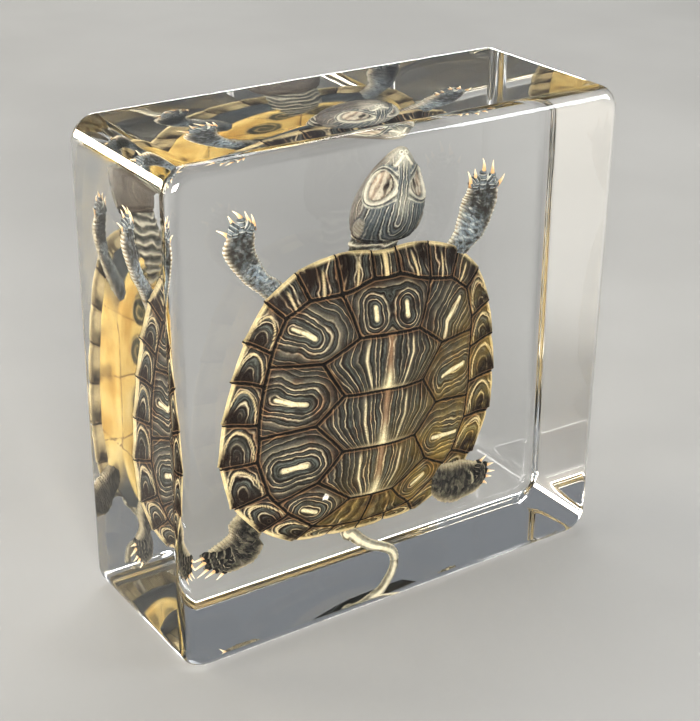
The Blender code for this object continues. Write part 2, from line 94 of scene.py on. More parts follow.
# Right half of the seam network, seen from the front: (across, along) from the shell's centre.
# The rim and inner lists run from the nuchal scute at the neck round to the tail.
RIM = [
    (1.7, 23.8), (7.9, 24.0), (14.4, 22.1), (19.4, 17.9), (22.3, 12.0), (23.8, 6.2), (25.0, -0.2),
    (25.1, -7.0), (22.5, -14.3), (17.3, -19.5), (11.5, -22.5), (5.6, -22.9), (0.0, -23.2),
]
INNER = [
    (2.3, 20.3), (7.9, 18.7), (12.8, 18.0), (16.4, 15.6), (18.2, 10.5), (19.0, 5.2), (19.5, -0.9),
    (19.3, -6.9), (17.2, -12.5), (13.7, -16.5), (9.0, -19.9), (4.6, -20.9), (0.0, -21.2),
]
# How far the rear corner of a marginal scute juts out, by the scute's number
RIM_TEETH = ([0, 2, 4, 8, 10, 12], [0.0, 0.15, 0.4, 0.5, 0.3, 0.05])
RIM_INSET = 0.3
# Corners down the side of the five vertebral scutes, from neck to tail
V1_V2, V2, V2_V3, V3 = (5.5, 12.0), (10.9, 8.4), (7.3, 3.2), (11.1, -1.8)
V3_V4, V4, V4_V5 = (6.8, -6.0), (9.9, -11.3), (3.9, -15.1)
C1_C2, C2_C3, C3_C4 = (18.5, 8.3), (19.4, -3.1), (15.6, -14.4)

# the middle three vertebral scutes, each by its front, widest and rear corner
MIDDLE_VERTEBRALS = {2: (V1_V2, V2, V2_V3), 3: (V2_V3, V3, V3_V4), 4: (V3_V4, V4, V4_V5)}

# Pale bars at the heart of each costal scute, as they lie on the right and on the left
COSTAL_BARS = {
    1: (
        [(14.6, 14.5), (13.0, 12.7), (11.6, 11.5), (11.4, 9.2)], [(15.5, 14.15), (13.7, 13.4), (12.4, 12.6)],
    ),
    2: ([(17.4, 2.9), (14.8, 2.5), (12.2, 2.1)], [(17.3, 3.05), (15.0, 2.4), (12.9, 2.1)]),
    3: ([(17.3, -8.9), (13.9, -8.3), (11.2, -7.9)], [(15.4, -8.65), (13.8, -8.2), (12.1, -7.8)]),
    4: ([(10.5, -14.5), (8.2, -15.6)], [(11.7, -16.0), (9.5, -16.7)]),
}
STRIPE_PITCH = 1.05
REAR_STRIPE_PITCH = 1.0
# the two ring whorls of the first vertebral scute: how far to each side, and their ends along
WHORL_ACROSS = 2.8
WHORL_ENDS = (16.3, 14.5)
# the small white flaky mark
FLAKE_PLACE = (-8.3, -14.0)
MARKS = ("phase", "seam", "pale", "gold", "tan", "amber", "blotch", "flake")

# The rim's round edge and its underside: how far out, how far down, and how golden
RIM_EDGE = [(0.16, 0.12, 0.6), (0.26, 0.32, 0.8), (0.24, 0.58, 0.8), (0.05, 0.82, 0.6), (-0.5, 0.95, 0.3)]
# share of the rim's (across, along) at which the bridge meets it, and how far down
BRIDGE_EDGE = (0.86, 0.93)
BRIDGE_DROP = 1.5

# Belly plate: where its cross seams meet the midline and how far each drops towards the sides,
# and the centres of its dark eye-marks as (across, along, radius)
BELLY_SEAMS = [(16.4, 3.4), (10.2, 1.2), (2.6, -0.6), (-6.4, -1.4), (-13.6, 2.4)]
BELLY_MARKS = [
    (3.4, 17.8, 2.3), (6.4, 12.6, 2.7), (7.6, 6.2, 2.8), (8.0, -2.0, 2.6), (7.2, -10.4, 2.7),
    (4.0, -17.0, 2.4),
]

# Head: its frame starts at the back of the skull and runs to the snout
HEAD_BACK = (3.0, 5.8, 54.3)
HEAD_SNOUT = (4.5, 0.2, 70.2)
# along the head: (distance, half width, crown height, throat depth)
HEAD_STATIONS = [
    (0.2, 4.2, 1.4, 3.6), (1.6, 5.5, 3.2, 4.4), (3.6, 6.1, 4.1, 4.8), (6.2, 6.1, 4.4, 4.6),
    (8.8, 5.2, 4.2, 4.1), (11.2, 4.0, 3.5, 3.3), (13.2, 2.5, 2.6, 2.3), (14.5, 1.5, 1.8, 1.3),
    (15.1, 0.9, 1.1, 0.7),
]
HEAD_TIP = (15.35, 0.25, 0.3, 0.25)
# neck: (x, y, z), half width and half depth
NECK_STATIONS = [
    ((2.4, 8.6, 46.0), 4.6, 2.4), ((2.6, 9.2, 50.0), 4.3, 2.6), ((2.8, 8.8, 52.6), 4.2, 2.7),
    ((3.0, 7.4, 55.4), 4.2, 3.0), ((3.3, 5.4, 58.0), 3.0, 2.4),
]
EYE_ALONG = 10.2
EYE_UP = 1.9
EYE_TILT = -20.0
EYE_LONG = 2.45
EYE_TALL = 1.75
NOSE_ALONG = 15.0
NOSE_UP = 0.95
NOSTRIL_ACROSS = 0.42
EAR_ALONG = 3.3
EAR_UP = 1.5
EAR_SLOPE = 0.25
EAR_LONG = 2.0
EAR_TALL = 0.95
# along the head: how high the mouth lies, and how far from the middle the ridges to the eyes are
MOUTH_LINE = ([3.0, 8.0, 12.0, 15.0], [-2.4, -2.1, -1.2, -0.3])
RIDGE_LINE = ([11.8, 13.2, 14.4, 15.0], [2.5, 1.7, 0.6, 0.1])
SKIN_MARKS = ("phase", "lined", "number", "dark", "warm", "pale")

# Limbs: each station is one edge, the other edge as (x, z), then y and the thickness.
# Each toe is its end and then its claw's tip, as (x, z).
LIMBS = {
    "front_left": {
        "stations": [
            ((-6.0, 45.0), (-9.5, 41.0), 9.0, 3.4), ((-13.1, 50.5), (-15.7, 48.6), 9.0, 3.0),
            ((-14.9, 51.9), (-17.9, 50.6), 9.3, 2.8), ((-15.9, 53.7), (-19.7, 52.7), 9.6, 2.6),
            ((-16.7, 56.1), (-21.5, 55.7), 10.0, 2.4), ((-16.5, 57.6), (-21.2, 57.4), 10.3, 2.1),
            ((-16.8, 59.0), (-20.2, 59.2), 10.4, 1.5),
        ],
        "toes": [
            ((-20.6, 57.9), (-22.3, 59.5)), ((-19.5, 60.0), (-20.4, 61.3)), ((-18.4, 60.9), (-19.7, 61.9)),
            ((-16.9, 59.7), (-17.7, 61.5)), ((-16.3, 58.3), (-16.7, 60.9)),
        ],
        "toe_y": 10.4,
        "claw_y": 10.9,
    },
    "front_right": {
        "stations": [
            ((10.0, 44.6), (13.6, 40.8), 9.3, 3.4), ((16.5, 50.8), (19.9, 48.5), 8.5, 3.0),
            ((17.4, 53.8), (22.1, 50.8), 7.5, 2.8), ((17.8, 57.0), (23.4, 54.0), 6.6, 2.5),
            ((18.4, 58.4), (24.2, 57.2), 6.2, 2.1), ((19.0, 60.0), (23.5, 59.6), 5.9, 1.5),
        ],
        "toes": [
            ((18.7, 59.2), (18.1, 62.0)), ((20.0, 60.5), (19.4, 62.2)), ((21.3, 61.6), (20.8, 63.6)),
            ((23.0, 60.9), (22.8, 63.0)), ((24.1, 58.5), (25.0, 60.5)),
        ],
        "toe_y": 5.8,
        "claw_y": 5.2,
    },
    "rear_left": {
        "stations": [
            ((-14.0, 20.0), (-11.0, 15.0), 9.0, 3.4), ((-20.9, 15.3), (-17.3, 10.8), 8.6, 3.2),
            ((-22.9, 14.0), (-17.4, 8.9), 7.8, 3.0), ((-23.3, 12.8), (-19.0, 7.2), 7.0, 2.6),
            ((-25.1, 12.1), (-21.5, 6.7), 6.5, 2.2), ((-26.9, 11.4), (-23.9, 6.7), 6.3, 1.8),
            ((-27.9, 10.7), (-26.0, 7.3), 6.3, 1.4),
        ],
        "toes": [
            ((-28.3, 11.1), (-30.1, 10.3)), ((-28.0, 10.1), (-30.3, 8.6)), ((-27.8, 8.7), (-29.1, 7.5)),
            ((-26.3, 7.6), (-27.8, 7.0)), ((-24.7, 6.8), (-25.9, 6.1)),
        ],
        "toe_y": 6.3,
        "claw_y": 6.2,
    },
    "rear_right": {
        "stations": [
            ((9.0, 17.5), (12.0, 12.5), 8.6, 3.4), ((14.7, 13.8), (14.1, 7.9), 7.0, 3.0),
            ((17.0, 13.4), (17.0, 6.2), 6.1, 2.7), ((18.8, 13.6), (19.5, 6.6), 5.4, 2.3),
            ((20.4, 13.1), (21.4, 7.3), 4.7, 2.0), ((21.8, 12.7), (22.7, 8.4), 4.3, 1.7),
            ((22.9, 12.2), (23.2, 9.4), 4.4, 1.3),
        ],
        "toes": [
            ((23.4, 9.7), (24.6, 9.2)), ((23.7, 10.8), (25.2, 10.1)), ((23.6, 12.0), (24.9, 11.6)),
            ((21.9, 13.0), (23.3, 13.4)), ((22.6, 8.6), (23.7, 8.1)),
        ],
        "toe_y": 4.4,
        "claw_y": 4.2,
    },
}
TOE_RADIUS = 0.78
CLAW_RADIUS = 0.42
# from ring to ring of the tail, and from cusp to cusp along a leg's edge
RING_SPACING = 0.62
# rear toes start this share of the way to the heel, which lies so far nearer the front face
HEEL_SHARE = 0.6
HEEL_FORWARD = 1.2

# Tail: (x, y, z) and radius
TAIL = [
    ((-0.4, 9.6, 12.0), 1.8), ((-2.9, 6.0, 7.6), 1.2), ((-2.3, 4.1, 6.8), 1.05), ((-1.4, 2.6, 5.9), 0.95),
    ((0.1, 1.9, 4.9), 0.88), ((2.0, 1.8, 4.0), 0.82), ((4.0, 2.9, 2.6), 0.78), ((4.9, 3.4, 1.5), 0.75),
    ((5.25, 3.65, 0.75), 0.73), ((5.3, 3.7, 0.08), 0.72),
]
TAIL_LOWEST = 0.06

# Colours
CREAM = (0.66, 0.58, 0.38, 1.0)
GOLD = (0.68, 0.56, 0.33, 1.0)
DARK_BROWN = (0.012, 0.006, 0.004, 1.0)
TAN = (0.42, 0.27, 0.16, 1.0)
AMBER = (0.46, 0.36, 0.14, 1.0)
SEAM_BLACK = (0.004, 0.002, 0.001, 1.0)
FLAKE_WHITE = (0.85, 0.83, 0.76, 1.0)
SKIN_DARK = (0.03, 0.028, 0.024, 1.0)
SKIN_GREY = (0.16, 0.18, 0.19, 1.0)
SHELL_BANDS = [
    (0.0, (0.46, 0.4, 0.28, 1)), (0.07, (0.34, 0.3, 0.21, 1)), (0.15, (0.11, 0.09, 0.065, 1)),
    (0.24, (0.011, 0.007, 0.005, 1)), (0.34, (0.01, 0.007, 0.005, 1)), (0.44, (0.085, 0.092, 0.083, 1)),
    (0.54, (0.03, 0.032, 0.028, 1)), (0.64, (0.105, 0.112, 0.1, 1)), (0.75, (0.012, 0.008, 0.006, 1)),
    (0.84, (0.011, 0.007, 0.005, 1)), (0.91, (0.11, 0.09, 0.065, 1)), (1.0, (0.46, 0.4, 0.28, 1)),
]
BELLY_TONES = [(0.3, (0.62, 0.4, 0.12, 1)), (0.5, (0.8, 0.6, 0.24, 1)), (0.75, (0.88, 0.74, 0.4, 1))]
SWIRL_BANDS = [
    (0.0, (0.6, 0.48, 0.24, 1)), (0.22, (0.1, 0.1, 0.06, 1)), (0.5, (0.05, 0.052, 0.04, 1)),
    (0.78, (0.12, 0.11, 0.07, 1)), (1.0, (0.6, 0.48, 0.24, 1)),
]
CLAW_TONES = [(0.1, (0.3, 0.18, 0.09, 1)), (0.45, (0.66, 0.42, 0.22, 1)), (1.0, (0.88, 0.76, 0.55, 1))]
# dark, middle, pale and warm tone of each skin
SKINS = {
    "head_skin": (
        (0.008, 0.006, 0.005, 1), (0.075, 0.09, 0.1, 1), (0.66, 0.62, 0.5, 1), (0.5, 0.36, 0.25, 1),
    ),
    "neck_skin": (SKIN_DARK, (0.14, 0.14, 0.12, 1), (0.62, 0.6, 0.5, 1), (0.5, 0.36, 0.2, 1)),
    "front_leg_skin": (SKIN_DARK, (0.2, 0.24, 0.27, 1), (0.8, 0.78, 0.68, 1), (0.62, 0.46, 0.26, 1)),
    "rear_leg_skin": (
        (0.005, 0.004, 0.004, 1), (0.022, 0.023, 0.022, 1), (0.4, 0.36, 0.27, 1), (0.5, 0.38, 0.2, 1),
    ),
    "tail_skin": (SKIN_DARK, (0.2, 0.23, 0.24, 1), (0.75, 0.68, 0.5, 1), (0.6, 0.46, 0.24, 1)),
}
# how strongly skin and claws mirror: little, since they lie in resin and not in air
SKIN_SHINE = 0.06
CLAW_SHINE = 0.12

# Stage: sizes and places in metres
FLOOR_TONES = [(0.3, (0.27, 0.27, 0.265, 1)), (0.7, (0.29, 0.29, 0.285, 1))]
FLOOR_HALF = 1.5
FLOOR_DROP = 0.00006
WORLD_COLOUR = (0.86, 0.9, 0.95, 1.0)
WORLD_STRENGTH = 0.22
# each light: place, size, power and colour
LIGHTS = {
    "key": ((-0.92, -1.67, 0.46), (1.1, 0.6), 115.0, (1.0, 0.97, 0.92)),
    "fill": ((1.2, -1.0, 0.32), (0.8, 0.6), 16.0, (0.94, 0.97, 1.0)),
    "back": ((0.15, 0.3, 0.75), (0.6, 0.3), 3.0, (1.0, 1.0, 1.0)),
    "low_back": ((0.62, 1.0, 0.05), (0.6, 0.09), 2.4, (1.0, 1.0, 1.0)),
    "belly": ((-0.9, 1.25, 0.3), (0.8, 0.4), 20.0, (1.0, 0.9, 0.74)),
    "side": ((-1.4, 0.24, 0.4), (0.6, 0.8), 12.0, (1.0, 0.95, 0.88)),
}
LIGHT_AIM = (0.0, 0.0, 0.035)

LATTICE_SIZE = 24
LATTICE = np.random.default_rng(11).random((LATTICE_SIZE,) * 3)


def ease(low, high, value):
    """0 below low, 1 above high, eased between. With high under low it runs the other way."""
    part = np.clip((value - low) / (high - low), 0, 1)
    return part * part * (3 - 2 * part)


def bell(value, middle, width):
    """1 at the middle, falling off smoothly on both sides."""
    return np.exp(-((value - middle) / width) ** 2)


def unit(vectors):
    """Vectors of length 1, the same way round."""
    return vectors / np.linalg.norm(vectors, axis=-1, keepdims=True)


def lumps(points, size, octaves=2):
    """Smooth noise from -1 to 1 at points in millimetres, in lumps of about that size."""
    points = np.asarray(points, float)
    if points.shape[-1] == 2:
        points = np.concatenate([points, np.zeros(points.shape[:-1] + (1,))], axis=-1)
    total, weight, weights = 0.0, 1.0, 0.0
    for octave in range(octaves):
        place = points / size * 2 ** octave + 7.31 * (octave + 1)
        cell = np.floor(place).astype(int)
        part = place - cell
        part = part * part * (3 - 2 * part)
        value = 0.0
        for dx in (0, 1):
            for dy in (0, 1):
                for dz in (0, 1):
                    share = np.abs(1 - dx - part[..., 0]) * np.abs(1 - dy - part[..., 1])
                    share = share * np.abs(1 - dz - part[..., 2])
                    corner = [(cell[..., k] + d) % LATTICE_SIZE for k, d in enumerate((dx, dy, dz))]
                    value = value + share * LATTICE[tuple(corner)]
        total = total + weight * (2 * value - 1)
        weights += weight
        weight *= 0.5
    return total / weights


def smooth_rows(rows, count):
    """Rows of numbers joined by a smooth curve and read off evenly."""
    rows = np.asarray(rows, float)
    padded = np.vstack([2 * rows[0] - rows[1], rows, 2 * rows[-1] - rows[-2]])
    place = np.linspace(0, len(rows) - 1, count)
    cell = np.minimum(place.astype(int), len(rows) - 2)
    t = (place - cell)[:, None]
    a, b, c, d = (padded[cell + k] for k in range(4))
    square, cube = 2 * a - 5 * b + 4 * c - d, 3 * b - a - 3 * c + d
    return 0.5 * (2 * b + (c - a) * t + square * t ** 2 + cube * t ** 3)


def segment_distance(points, start, end):
    """Distance from points to a segment, and the nearest places on it."""
    start, end = np.asarray(start, float), np.asarray(end, float)
    along = end - start
    part = np.clip(((points - start) @ along) / (along @ along), 0, 1)
    nearest = start + part[..., None] * along
    return np.linalg.norm(points - nearest, axis=-1), nearest


def path_distance(points, path):
    """Distance from points to a path of segments."""
    return np.min([segment_distance(points, a, b)[0] for a, b in zip(path, path[1:])], axis=0)


def polar(angles, radius=1.0):
    """(across, along) places in the shell's plane, at angles from the tail."""
    return np.stack([radius * np.sin(angles), -radius * np.cos(angles)], axis=-1)


def warped(flat, size, shift, height):
    """Places moved a little by smooth noise, so that lines drawn by them waver."""
    return flat + np.stack([lumps(flat, size), lumps(flat + shift, size)], axis=-1) * height


def with_height(flat, height):
    """(across, along) places made into points at a height over the shell's plane."""
    return np.concatenate([flat, np.broadcast_to(height, flat.shape[:-1])[..., None]], axis=-1)


def link(name, data):
    """A new object of the scene."""
    made = bpy.data.objects.new(name, data)
    bpy.context.scene.collection.objects.link(made)
    return made


class Shape:
    """Points, faces and marks of one piece of the turtle, gathered from several skins."""

    def __init__(self, *marks):
        self.points, self.faces, self.count = [], [], 0
        self.marks = {mark: [] for mark in marks}

    def add(self, points, **marks):
        """Adds a closed skin, given as rows of points, with its marks."""
        grid = points.shape[:-1]
        self.points.append(points.reshape(-1, 3))
        self.faces += [[corner + self.count for corner in face] for face in skin_faces(*grid)]
        for mark, values in self.marks.items():
            values.append(np.broadcast_to(marks.get(mark, 0.0), grid).reshape(-1))
        self.count += points[..., 0].size

    def piece(self, name, material):
        """The finished object, in metres."""
        mesh = bpy.data.meshes.new(name)
        mesh.from_pydata((np.vstack(self.points) * MM).tolist(), [], self.faces)
        for mark, values in self.marks.items():
            layer = mesh.attributes.new(mark, "FLOAT", "POINT")
            layer.data.foreach_set("value", np.concatenate(values).astype(np.float32))
        shape = bmesh.new()
        shape.from_mesh(mesh)
        bmesh.ops.recalc_face_normals(shape, faces=shape.faces)
        shape.to_mesh(mesh)
        shape.free()
        mesh.shade_smooth()
        mesh.materials.append(material)
        return settle(link(name, mesh), "turtle", "turtle")


def settle(made, slot, *replaced):
    """Lets a finished object ride on the one body, in place of CAD nodes. The slot is not used."""
    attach(made, "root")
    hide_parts(*replaced)
    return made


def skin_faces(rows, cols):
    """Faces over a grid of points that closes on itself round each row, with both ends capped."""
    index = np.arange(rows * cols).reshape(rows, cols)
    following = np.roll(index, -1, axis=1)
    faces = np.stack([index[:-1], following[:-1], following[1:], index[1:]], axis=-1).reshape(-1, 4)
    return faces.tolist() + [index[0][::-1].tolist(), index[-1].tolist()]


def tube(centres, sides, depths, cols, backs=None):
    """Points and outward directions of a tube with oval sections, as (rows, cols, 3) grids."""
    turn = 2 * math.pi * np.arange(cols) / cols
    across, up = np.cos(turn)[None, :, None], np.sin(turn)[None, :, None]
    backs = depths if backs is None else backs
    depth = np.where(up > 0, depths[:, None, :], backs[:, None, :])
    side = np.broadcast_to(sides[:, None, :], depth.shape)
    points = centres[:, None, :] + across * side + up * depth
    outward = across * side / np.sum(side ** 2, axis=-1, keepdims=True)
    outward = outward + up * depth / np.sum(depth ** 2, axis=-1, keepdims=True)
    return points, unit(outward), turn


def path_lengths(centres):
    """How far along a path each of its places lies."""
    steps = np.linalg.norm(np.diff(centres, axis=0), axis=1)
    return np.concatenate([[0.0], np.cumsum(steps)])


def around(turn, rows, count):
    """How far round a tube each of its points lies, from 0 to a count."""
    return np.broadcast_to(turn / (2 * math.pi) * count, (rows, len(turn)))


def cells(u, v, columns, seed):
    """Irregular scales over (u, v), which repeat every so many columns in v.
    Gives how far each point is from its scale's edge, and a number for each scale."""
    jitter = np.random.default_rng(seed).random((64, 64, 3))
    row, col = np.floor(u).astype(int), np.floor(v).astype(int)
    nearest = np.full(u.shape, 9.0)
    second = np.full(u.shape, 9.0)
    number = np.zeros(u.shape)
    for dr in (-1, 0, 1):
        for dc in (-1, 0, 1):
            r, c = row + dr, col + dc
            wobble = jitter[r % 64, (c % columns) % 64]
            du = r + 0.5 + 0.55 * (wobble[..., 0] - 0.5) - u
            dv = c + 0.5 + 0.5 * ((r % 2) - 0.5) + 0.45 * (wobble[..., 1] - 0.5) - v
            distance = np.hypot(du, dv)
            closer = distance < nearest
            second = np.where(closer, nearest, np.minimum(second, distance))
            number = np.where(closer, wobble[..., 2], number)
            nearest = np.minimum(nearest, distance)
    return second - nearest, number


class Nodes:
    """Short names for the shader nodes that the materials share. Sizes are in millimetres."""

    def __init__(self, name):
        self.material = bpy.data.materials.new(name)
        self.material.use_nodes = True
        self.tree = self.material.node_tree
        self.shader = self.tree.nodes["Principled BSDF"]
        self.output = self.tree.nodes["Material Output"]
        self.place = self.tree.nodes.new("ShaderNodeTexCoord").outputs["Object"]

    def put(self, socket, value):
        if isinstance(value, bpy.types.NodeSocket):
            self.tree.links.new(value, socket)
        else:
            socket.default_value = value

    def node(self, kind, inputs, output, **settings):
        """A new node with its settings and inputs; gives one of its outputs."""
        made = self.tree.nodes.new("ShaderNode" + kind)
        for setting, value in settings.items():
            setattr(made, setting, value)
        for socket, value in inputs.items():
            self.put(made.inputs[socket], value)
        return made.outputs[output]

    def mark(self, name):
        return self.node("Attribute", {}, "Fac", attribute_name=name)

    def math(self, operation, a, b=0.0):
        return self.node("Math", {0: a, 1: b}, 0, operation=operation)

    def times(self, a, b):
        return self.math("MULTIPLY", a, b)

    def plus(self, a, b):
        return self.math("ADD", a, b)

    def sine(self, value, rate, height):
        return self.times(self.math("SINE", self.times(value, rate)), height)

    def noise(self, size_mm, detail=3.0, roughness=0.55):
        scale = 1 / (size_mm * MM)
        inputs = {"Vector": self.place, "Scale": scale, "Detail": detail, "Roughness": roughness}
        return self.node("TexNoise", inputs, "Fac")

    def wobble(self, size_mm, detail, height):
        """Noise on both sides of zero, to shift a phase by."""
        return self.times(self.plus(self.noise(size_mm, detail), -0.5), height)

    def chance(self, phase):
        """A chance number from 0 to 1 for each whole ring of a phase."""
        ring = self.math("FLOOR", self.plus(phase, 0.5))
        return self.math("FRACT", self.sine(ring, 12.99, 43.7))

    def worn(self, mark, size_mm, low, high, least, most=1.0):
        """A mark made uneven by noise."""
        return self.times(self.mark(mark), self.range(self.noise(size_mm), low, high, least, most))

    def range(self, value, low, high, to_low=0.0, to_high=1.0):
        inputs = {"Value": value, "From Min": low, "From Max": high, "To Min": to_low, "To Max": to_high}
        return self.node("MapRange", inputs, "Result", interpolation_type="SMOOTHSTEP")

    def ramp(self, value, stops):
        node = self.tree.nodes.new("ShaderNodeValToRGB")
        node.color_ramp.interpolation = "EASE"
        entries = node.color_ramp.elements
        while len(entries) < len(stops):
            entries.new(0.5)
        for entry, (place, colour) in zip(entries, stops):
            entry.position = place
            entry.color = colour
        self.put(node.inputs["Fac"], value)
        return node.outputs["Color"]

    def mix(self, share, a, b, blend_type="MIX"):
        settings = {"data_type": "RGBA", "blend_type": blend_type, "clamp_factor": True}
        return self.node("Mix", {0: share, 6: a, 7: b}, 2, **settings)

    def tint(self, colour, by):
        return self.mix(1.0, colour, by, "MULTIPLY")

    def speckled(self, colour, size_mm, darkest, lightest, detail=3.0):
        """A colour under fine grain."""
        return self.tint(colour, self.range(self.noise(size_mm, detail, 0.7), 0.25, 0.75, darkest, lightest))

    def bump(self, height, depth_mm, strength=1.0, normal=None):
        inputs = {"Strength": strength, "Distance": depth_mm * MM, "Height": height}
        if normal is not None:
            inputs["Normal"] = normal
        return self.node("Bump", inputs, "Normal")

    def surface(self, **inputs):
        """Sets inputs of the surface shader, spaces in their names written as underscores."""
        for name, value in inputs.items():
            self.put(self.shader.inputs[name.replace("_", " ")], value)
        return self.material

    def finish(self, colour, roughness, normal, specular=SKIN_SHINE):
        return self.surface(
            Base_Color=colour, Roughness=roughness, Normal=normal, Specular_IOR_Level=specular,
        )


def shell_material():
    """Scutes in fine concentric bands of cream, dark brown and slate, with black seams."""
    n = Nodes("carapace_scutes")
    base = n.plus(n.mark("phase"), n.plus(n.wobble(4.5, 1.0, 1.7), n.wobble(1.1, 1.0, 0.35)))
    phase = n.plus(base, n.plus(n.sine(base, 2.3, 0.15), n.sine(base, 5.2, 0.09)))
    wave = n.math("FRACT", phase)
    dull = n.mix(n.range(wave, 0.2, 0.5), (0.085, 0.08, 0.066, 1), (0.018, 0.016, 0.012, 1))
    colour = n.mix(n.range(n.chance(phase), 0.1, 0.9, 0.65, 0.0), n.ramp(wave, SHELL_BANDS), dull)
    colour = n.mix(n.range(n.noise(2.0), 0.42, 0.66, 0.0, 0.8), colour, dull)
    colour = n.mix(n.range(n.noise(3.5), 0.5, 0.7, 0.0, 0.7), colour, n.tint(colour, (0.62, 0.4, 0.3, 1)))
    near_seam = n.range(n.plus(n.mark("seam"), n.times(n.noise(1.6), 1.6)), 0.8, 2.1, 0.9, 0.0)
    colour = n.mix(near_seam, colour, n.tint(colour, (0.4, 0.25, 0.17, 1)))
    amber = n.tint(n.mix(0.16, colour, AMBER), (1.4, 1.22, 0.7, 1))
    colour = n.mix(n.worn("amber", 4.0, 0.35, 0.65, 0.25, 0.85), colour, amber)
    colour = n.mix(n.mark("tan"), colour, TAN)
    colour = n.mix(n.worn("pale", 0.7, 0.3, 0.6, 0.7), colour, CREAM)
    colour = n.mix(n.mark("gold"), colour, GOLD)
    colour = n.mix(n.worn("blotch", 1.4, 0.3, 0.55, 0.5), colour, DARK_BROWN)
    colour = n.speckled(colour, 0.16, 0.72, 1.28)
    # a thin tan line just off each seam: a painted highlight along the groove's edge
    from_seam_highlight = n.math("ABSOLUTE", n.math("SUBTRACT", n.mark("seam"), 0.33))
    colour = n.mix(n.range(from_seam_highlight, 0.0, 0.12, 0.4, 0.0), colour, (0.3, 0.19, 0.1, 1))
    line = n.range(n.plus(n.mark("seam"), n.times(n.noise(0.8), 0.12)), 0.17, 0.25, 1.0, 0.0)
    colour = n.mix(line, colour, SEAM_BLACK)
    colour = n.mix(n.mark("flake"), colour, FLAKE_WHITE)
    relief = n.bump(n.math("COSINE", n.times(phase, 2 * math.pi)), 0.05, 0.6)
    fine = n.bump(n.noise(0.22, 4.0, 0.7), 0.05, 0.7, relief)
    return n.finish(colour, n.range(n.noise(1.2, 4.0), 0.3, 0.7, 0.3, 0.5), fine)


def belly_material():
    """Golden belly plate with brown seams and dark swirled eye-marks."""
    n = Nodes("plastron_plate")
    colour = n.ramp(n.noise(6.0, 4.0), BELLY_TONES)
    wave = n.math("FRACT", n.plus(n.mark("phase"), n.times(n.noise(1.5), 0.5)))
    colour = n.mix(n.mark("mark"), colour, n.ramp(wave, SWIRL_BANDS))
    colour = n.mix(n.mark("blotch"), colour, (0.12, 0.075, 0.03, 1))
    colour = n.mix(n.mark("flesh"), colour, n.mix(n.noise(0.7), SKIN_DARK, SKIN_GREY))
    line = n.range(n.plus(n.mark("seam"), n.times(n.noise(0.8), 0.14)), 0.14, 0.3, 0.9, 0.0)
    colour = n.mix(line, colour, (0.1, 0.05, 0.02, 1))
    colour = n.speckled(colour, 0.3, 0.86, 1.12, 4.0)
    normal = n.bump(n.noise(0.9, 4.0), 0.12, 0.6)
    return n.finish(colour, n.range(n.noise(1.4), 0.3, 0.7, 0.35, 0.55), normal)


def skin_material(name):
    """Scaly skin: lines by phase, and marks for scale edges, dark, pale and warm places."""
    dark, middle, pale, warm = SKINS[name]
    n = Nodes(name)
    tone = n.plus(n.times(n.mark("number"), 0.55), n.times(n.noise(0.5, 4.0, 0.65), 0.6))
    colour = n.ramp(tone, [(0.22, dark), (0.5, middle), (0.82, blend(middle, pale, 0.55)), (1.0, pale)])
    shift = n.plus(n.wobble(1.7, 2.0, 0.7), n.wobble(0.4, 2.0, 0.22))
    half_pale = blend(middle, pale, 0.3)
    band = n.ramp(n.math("FRACT", n.plus(n.mark("phase"), shift)), [
        (0.0, pale), (0.08, half_pale), (0.16, dark), (0.26, dark), (0.4, middle),
        (0.54, blend(middle, pale, 0.2)), (0.68, middle), (0.82, dark), (0.91, half_pale), (1.0, pale),
    ])
    band = n.mix(n.range(n.chance(n.mark("phase")), 0.1, 0.9, 0.7, 0.0), band, middle)
    band = n.mix(n.range(n.noise(1.5), 0.42, 0.66, 0.0, 0.6), band, middle)
    colour = n.mix(n.mark("lined"), colour, band)
    colour = n.mix(n.worn("dark", 0.8, 0.3, 0.6, 0.7), colour, dark)
    colour = n.mix(n.worn("warm", 0.9, 0.25, 0.6, 0.6), colour, warm)
    colour = n.mix(n.worn("pale", 0.4, 0.25, 0.6, 0.6), colour, pale)
    colour = n.speckled(colour, 0.13, 0.75, 1.25)
    normal = n.bump(n.noise(0.2, 4.0, 0.7), 0.07, 0.7)
    return n.finish(colour, n.range(n.noise(0.8), 0.3, 0.7, 0.35, 0.6), normal)


def blend(a, b, share):
    """The colour part of the way from one to another."""
    return tuple(x + (y - x) * share for x, y in zip(a, b))


def claw_material():
    """Brown horn that pales towards the tip."""
    n = Nodes("claw_horn")
    colour = n.ramp(n.plus(n.mark("tip"), n.times(n.noise(0.4), 0.25)), CLAW_TONES)
    normal = n.bump(n.noise(0.15), 0.04, 0.5)
    return n.finish(colour, n.range(n.noise(0.5), 0.3, 0.7, 0.25, 0.4), normal, CLAW_SHINE)


def resin_material():
    """Clear colourless resin: plain transmission and a trace of absorption."""
    n = Nodes("clear_resin")
    n.surface(
        Base_Color=(1.0, 1.0, 1.0, 1.0), Transmission_Weight=1.0, IOR=RESIN_IOR, Roughness=0.0,
        Normal=n.bump(n.noise(14.0, 2.0), 0.02, 0.25),
    )
    absorb = n.node("VolumeAbsorption", {"Color": RESIN_TINT, "Density": RESIN_DENSITY}, "Volume")
    n.put(n.output.inputs["Volume"], absorb)
    return n.material


def ordered(shape):
    """Corners, no loose edges and faces of a shape, in an order that depends on their places alone."""
    verts = sorted(shape.verts, key=lambda vert: tuple(round(value, 7) for value in vert.co))
    number = {vert: i for i, vert in enumerate(verts)}
    rings = [[number[vert] for vert in face.verts] for face in shape.faces]
    firsts = [ring.index(min(ring)) for ring in rings]
    return [vert.co[:] for vert in verts], [], sorted(
        ring[first:] + ring[:first] for ring, first in zip(rings, firsts)
    )


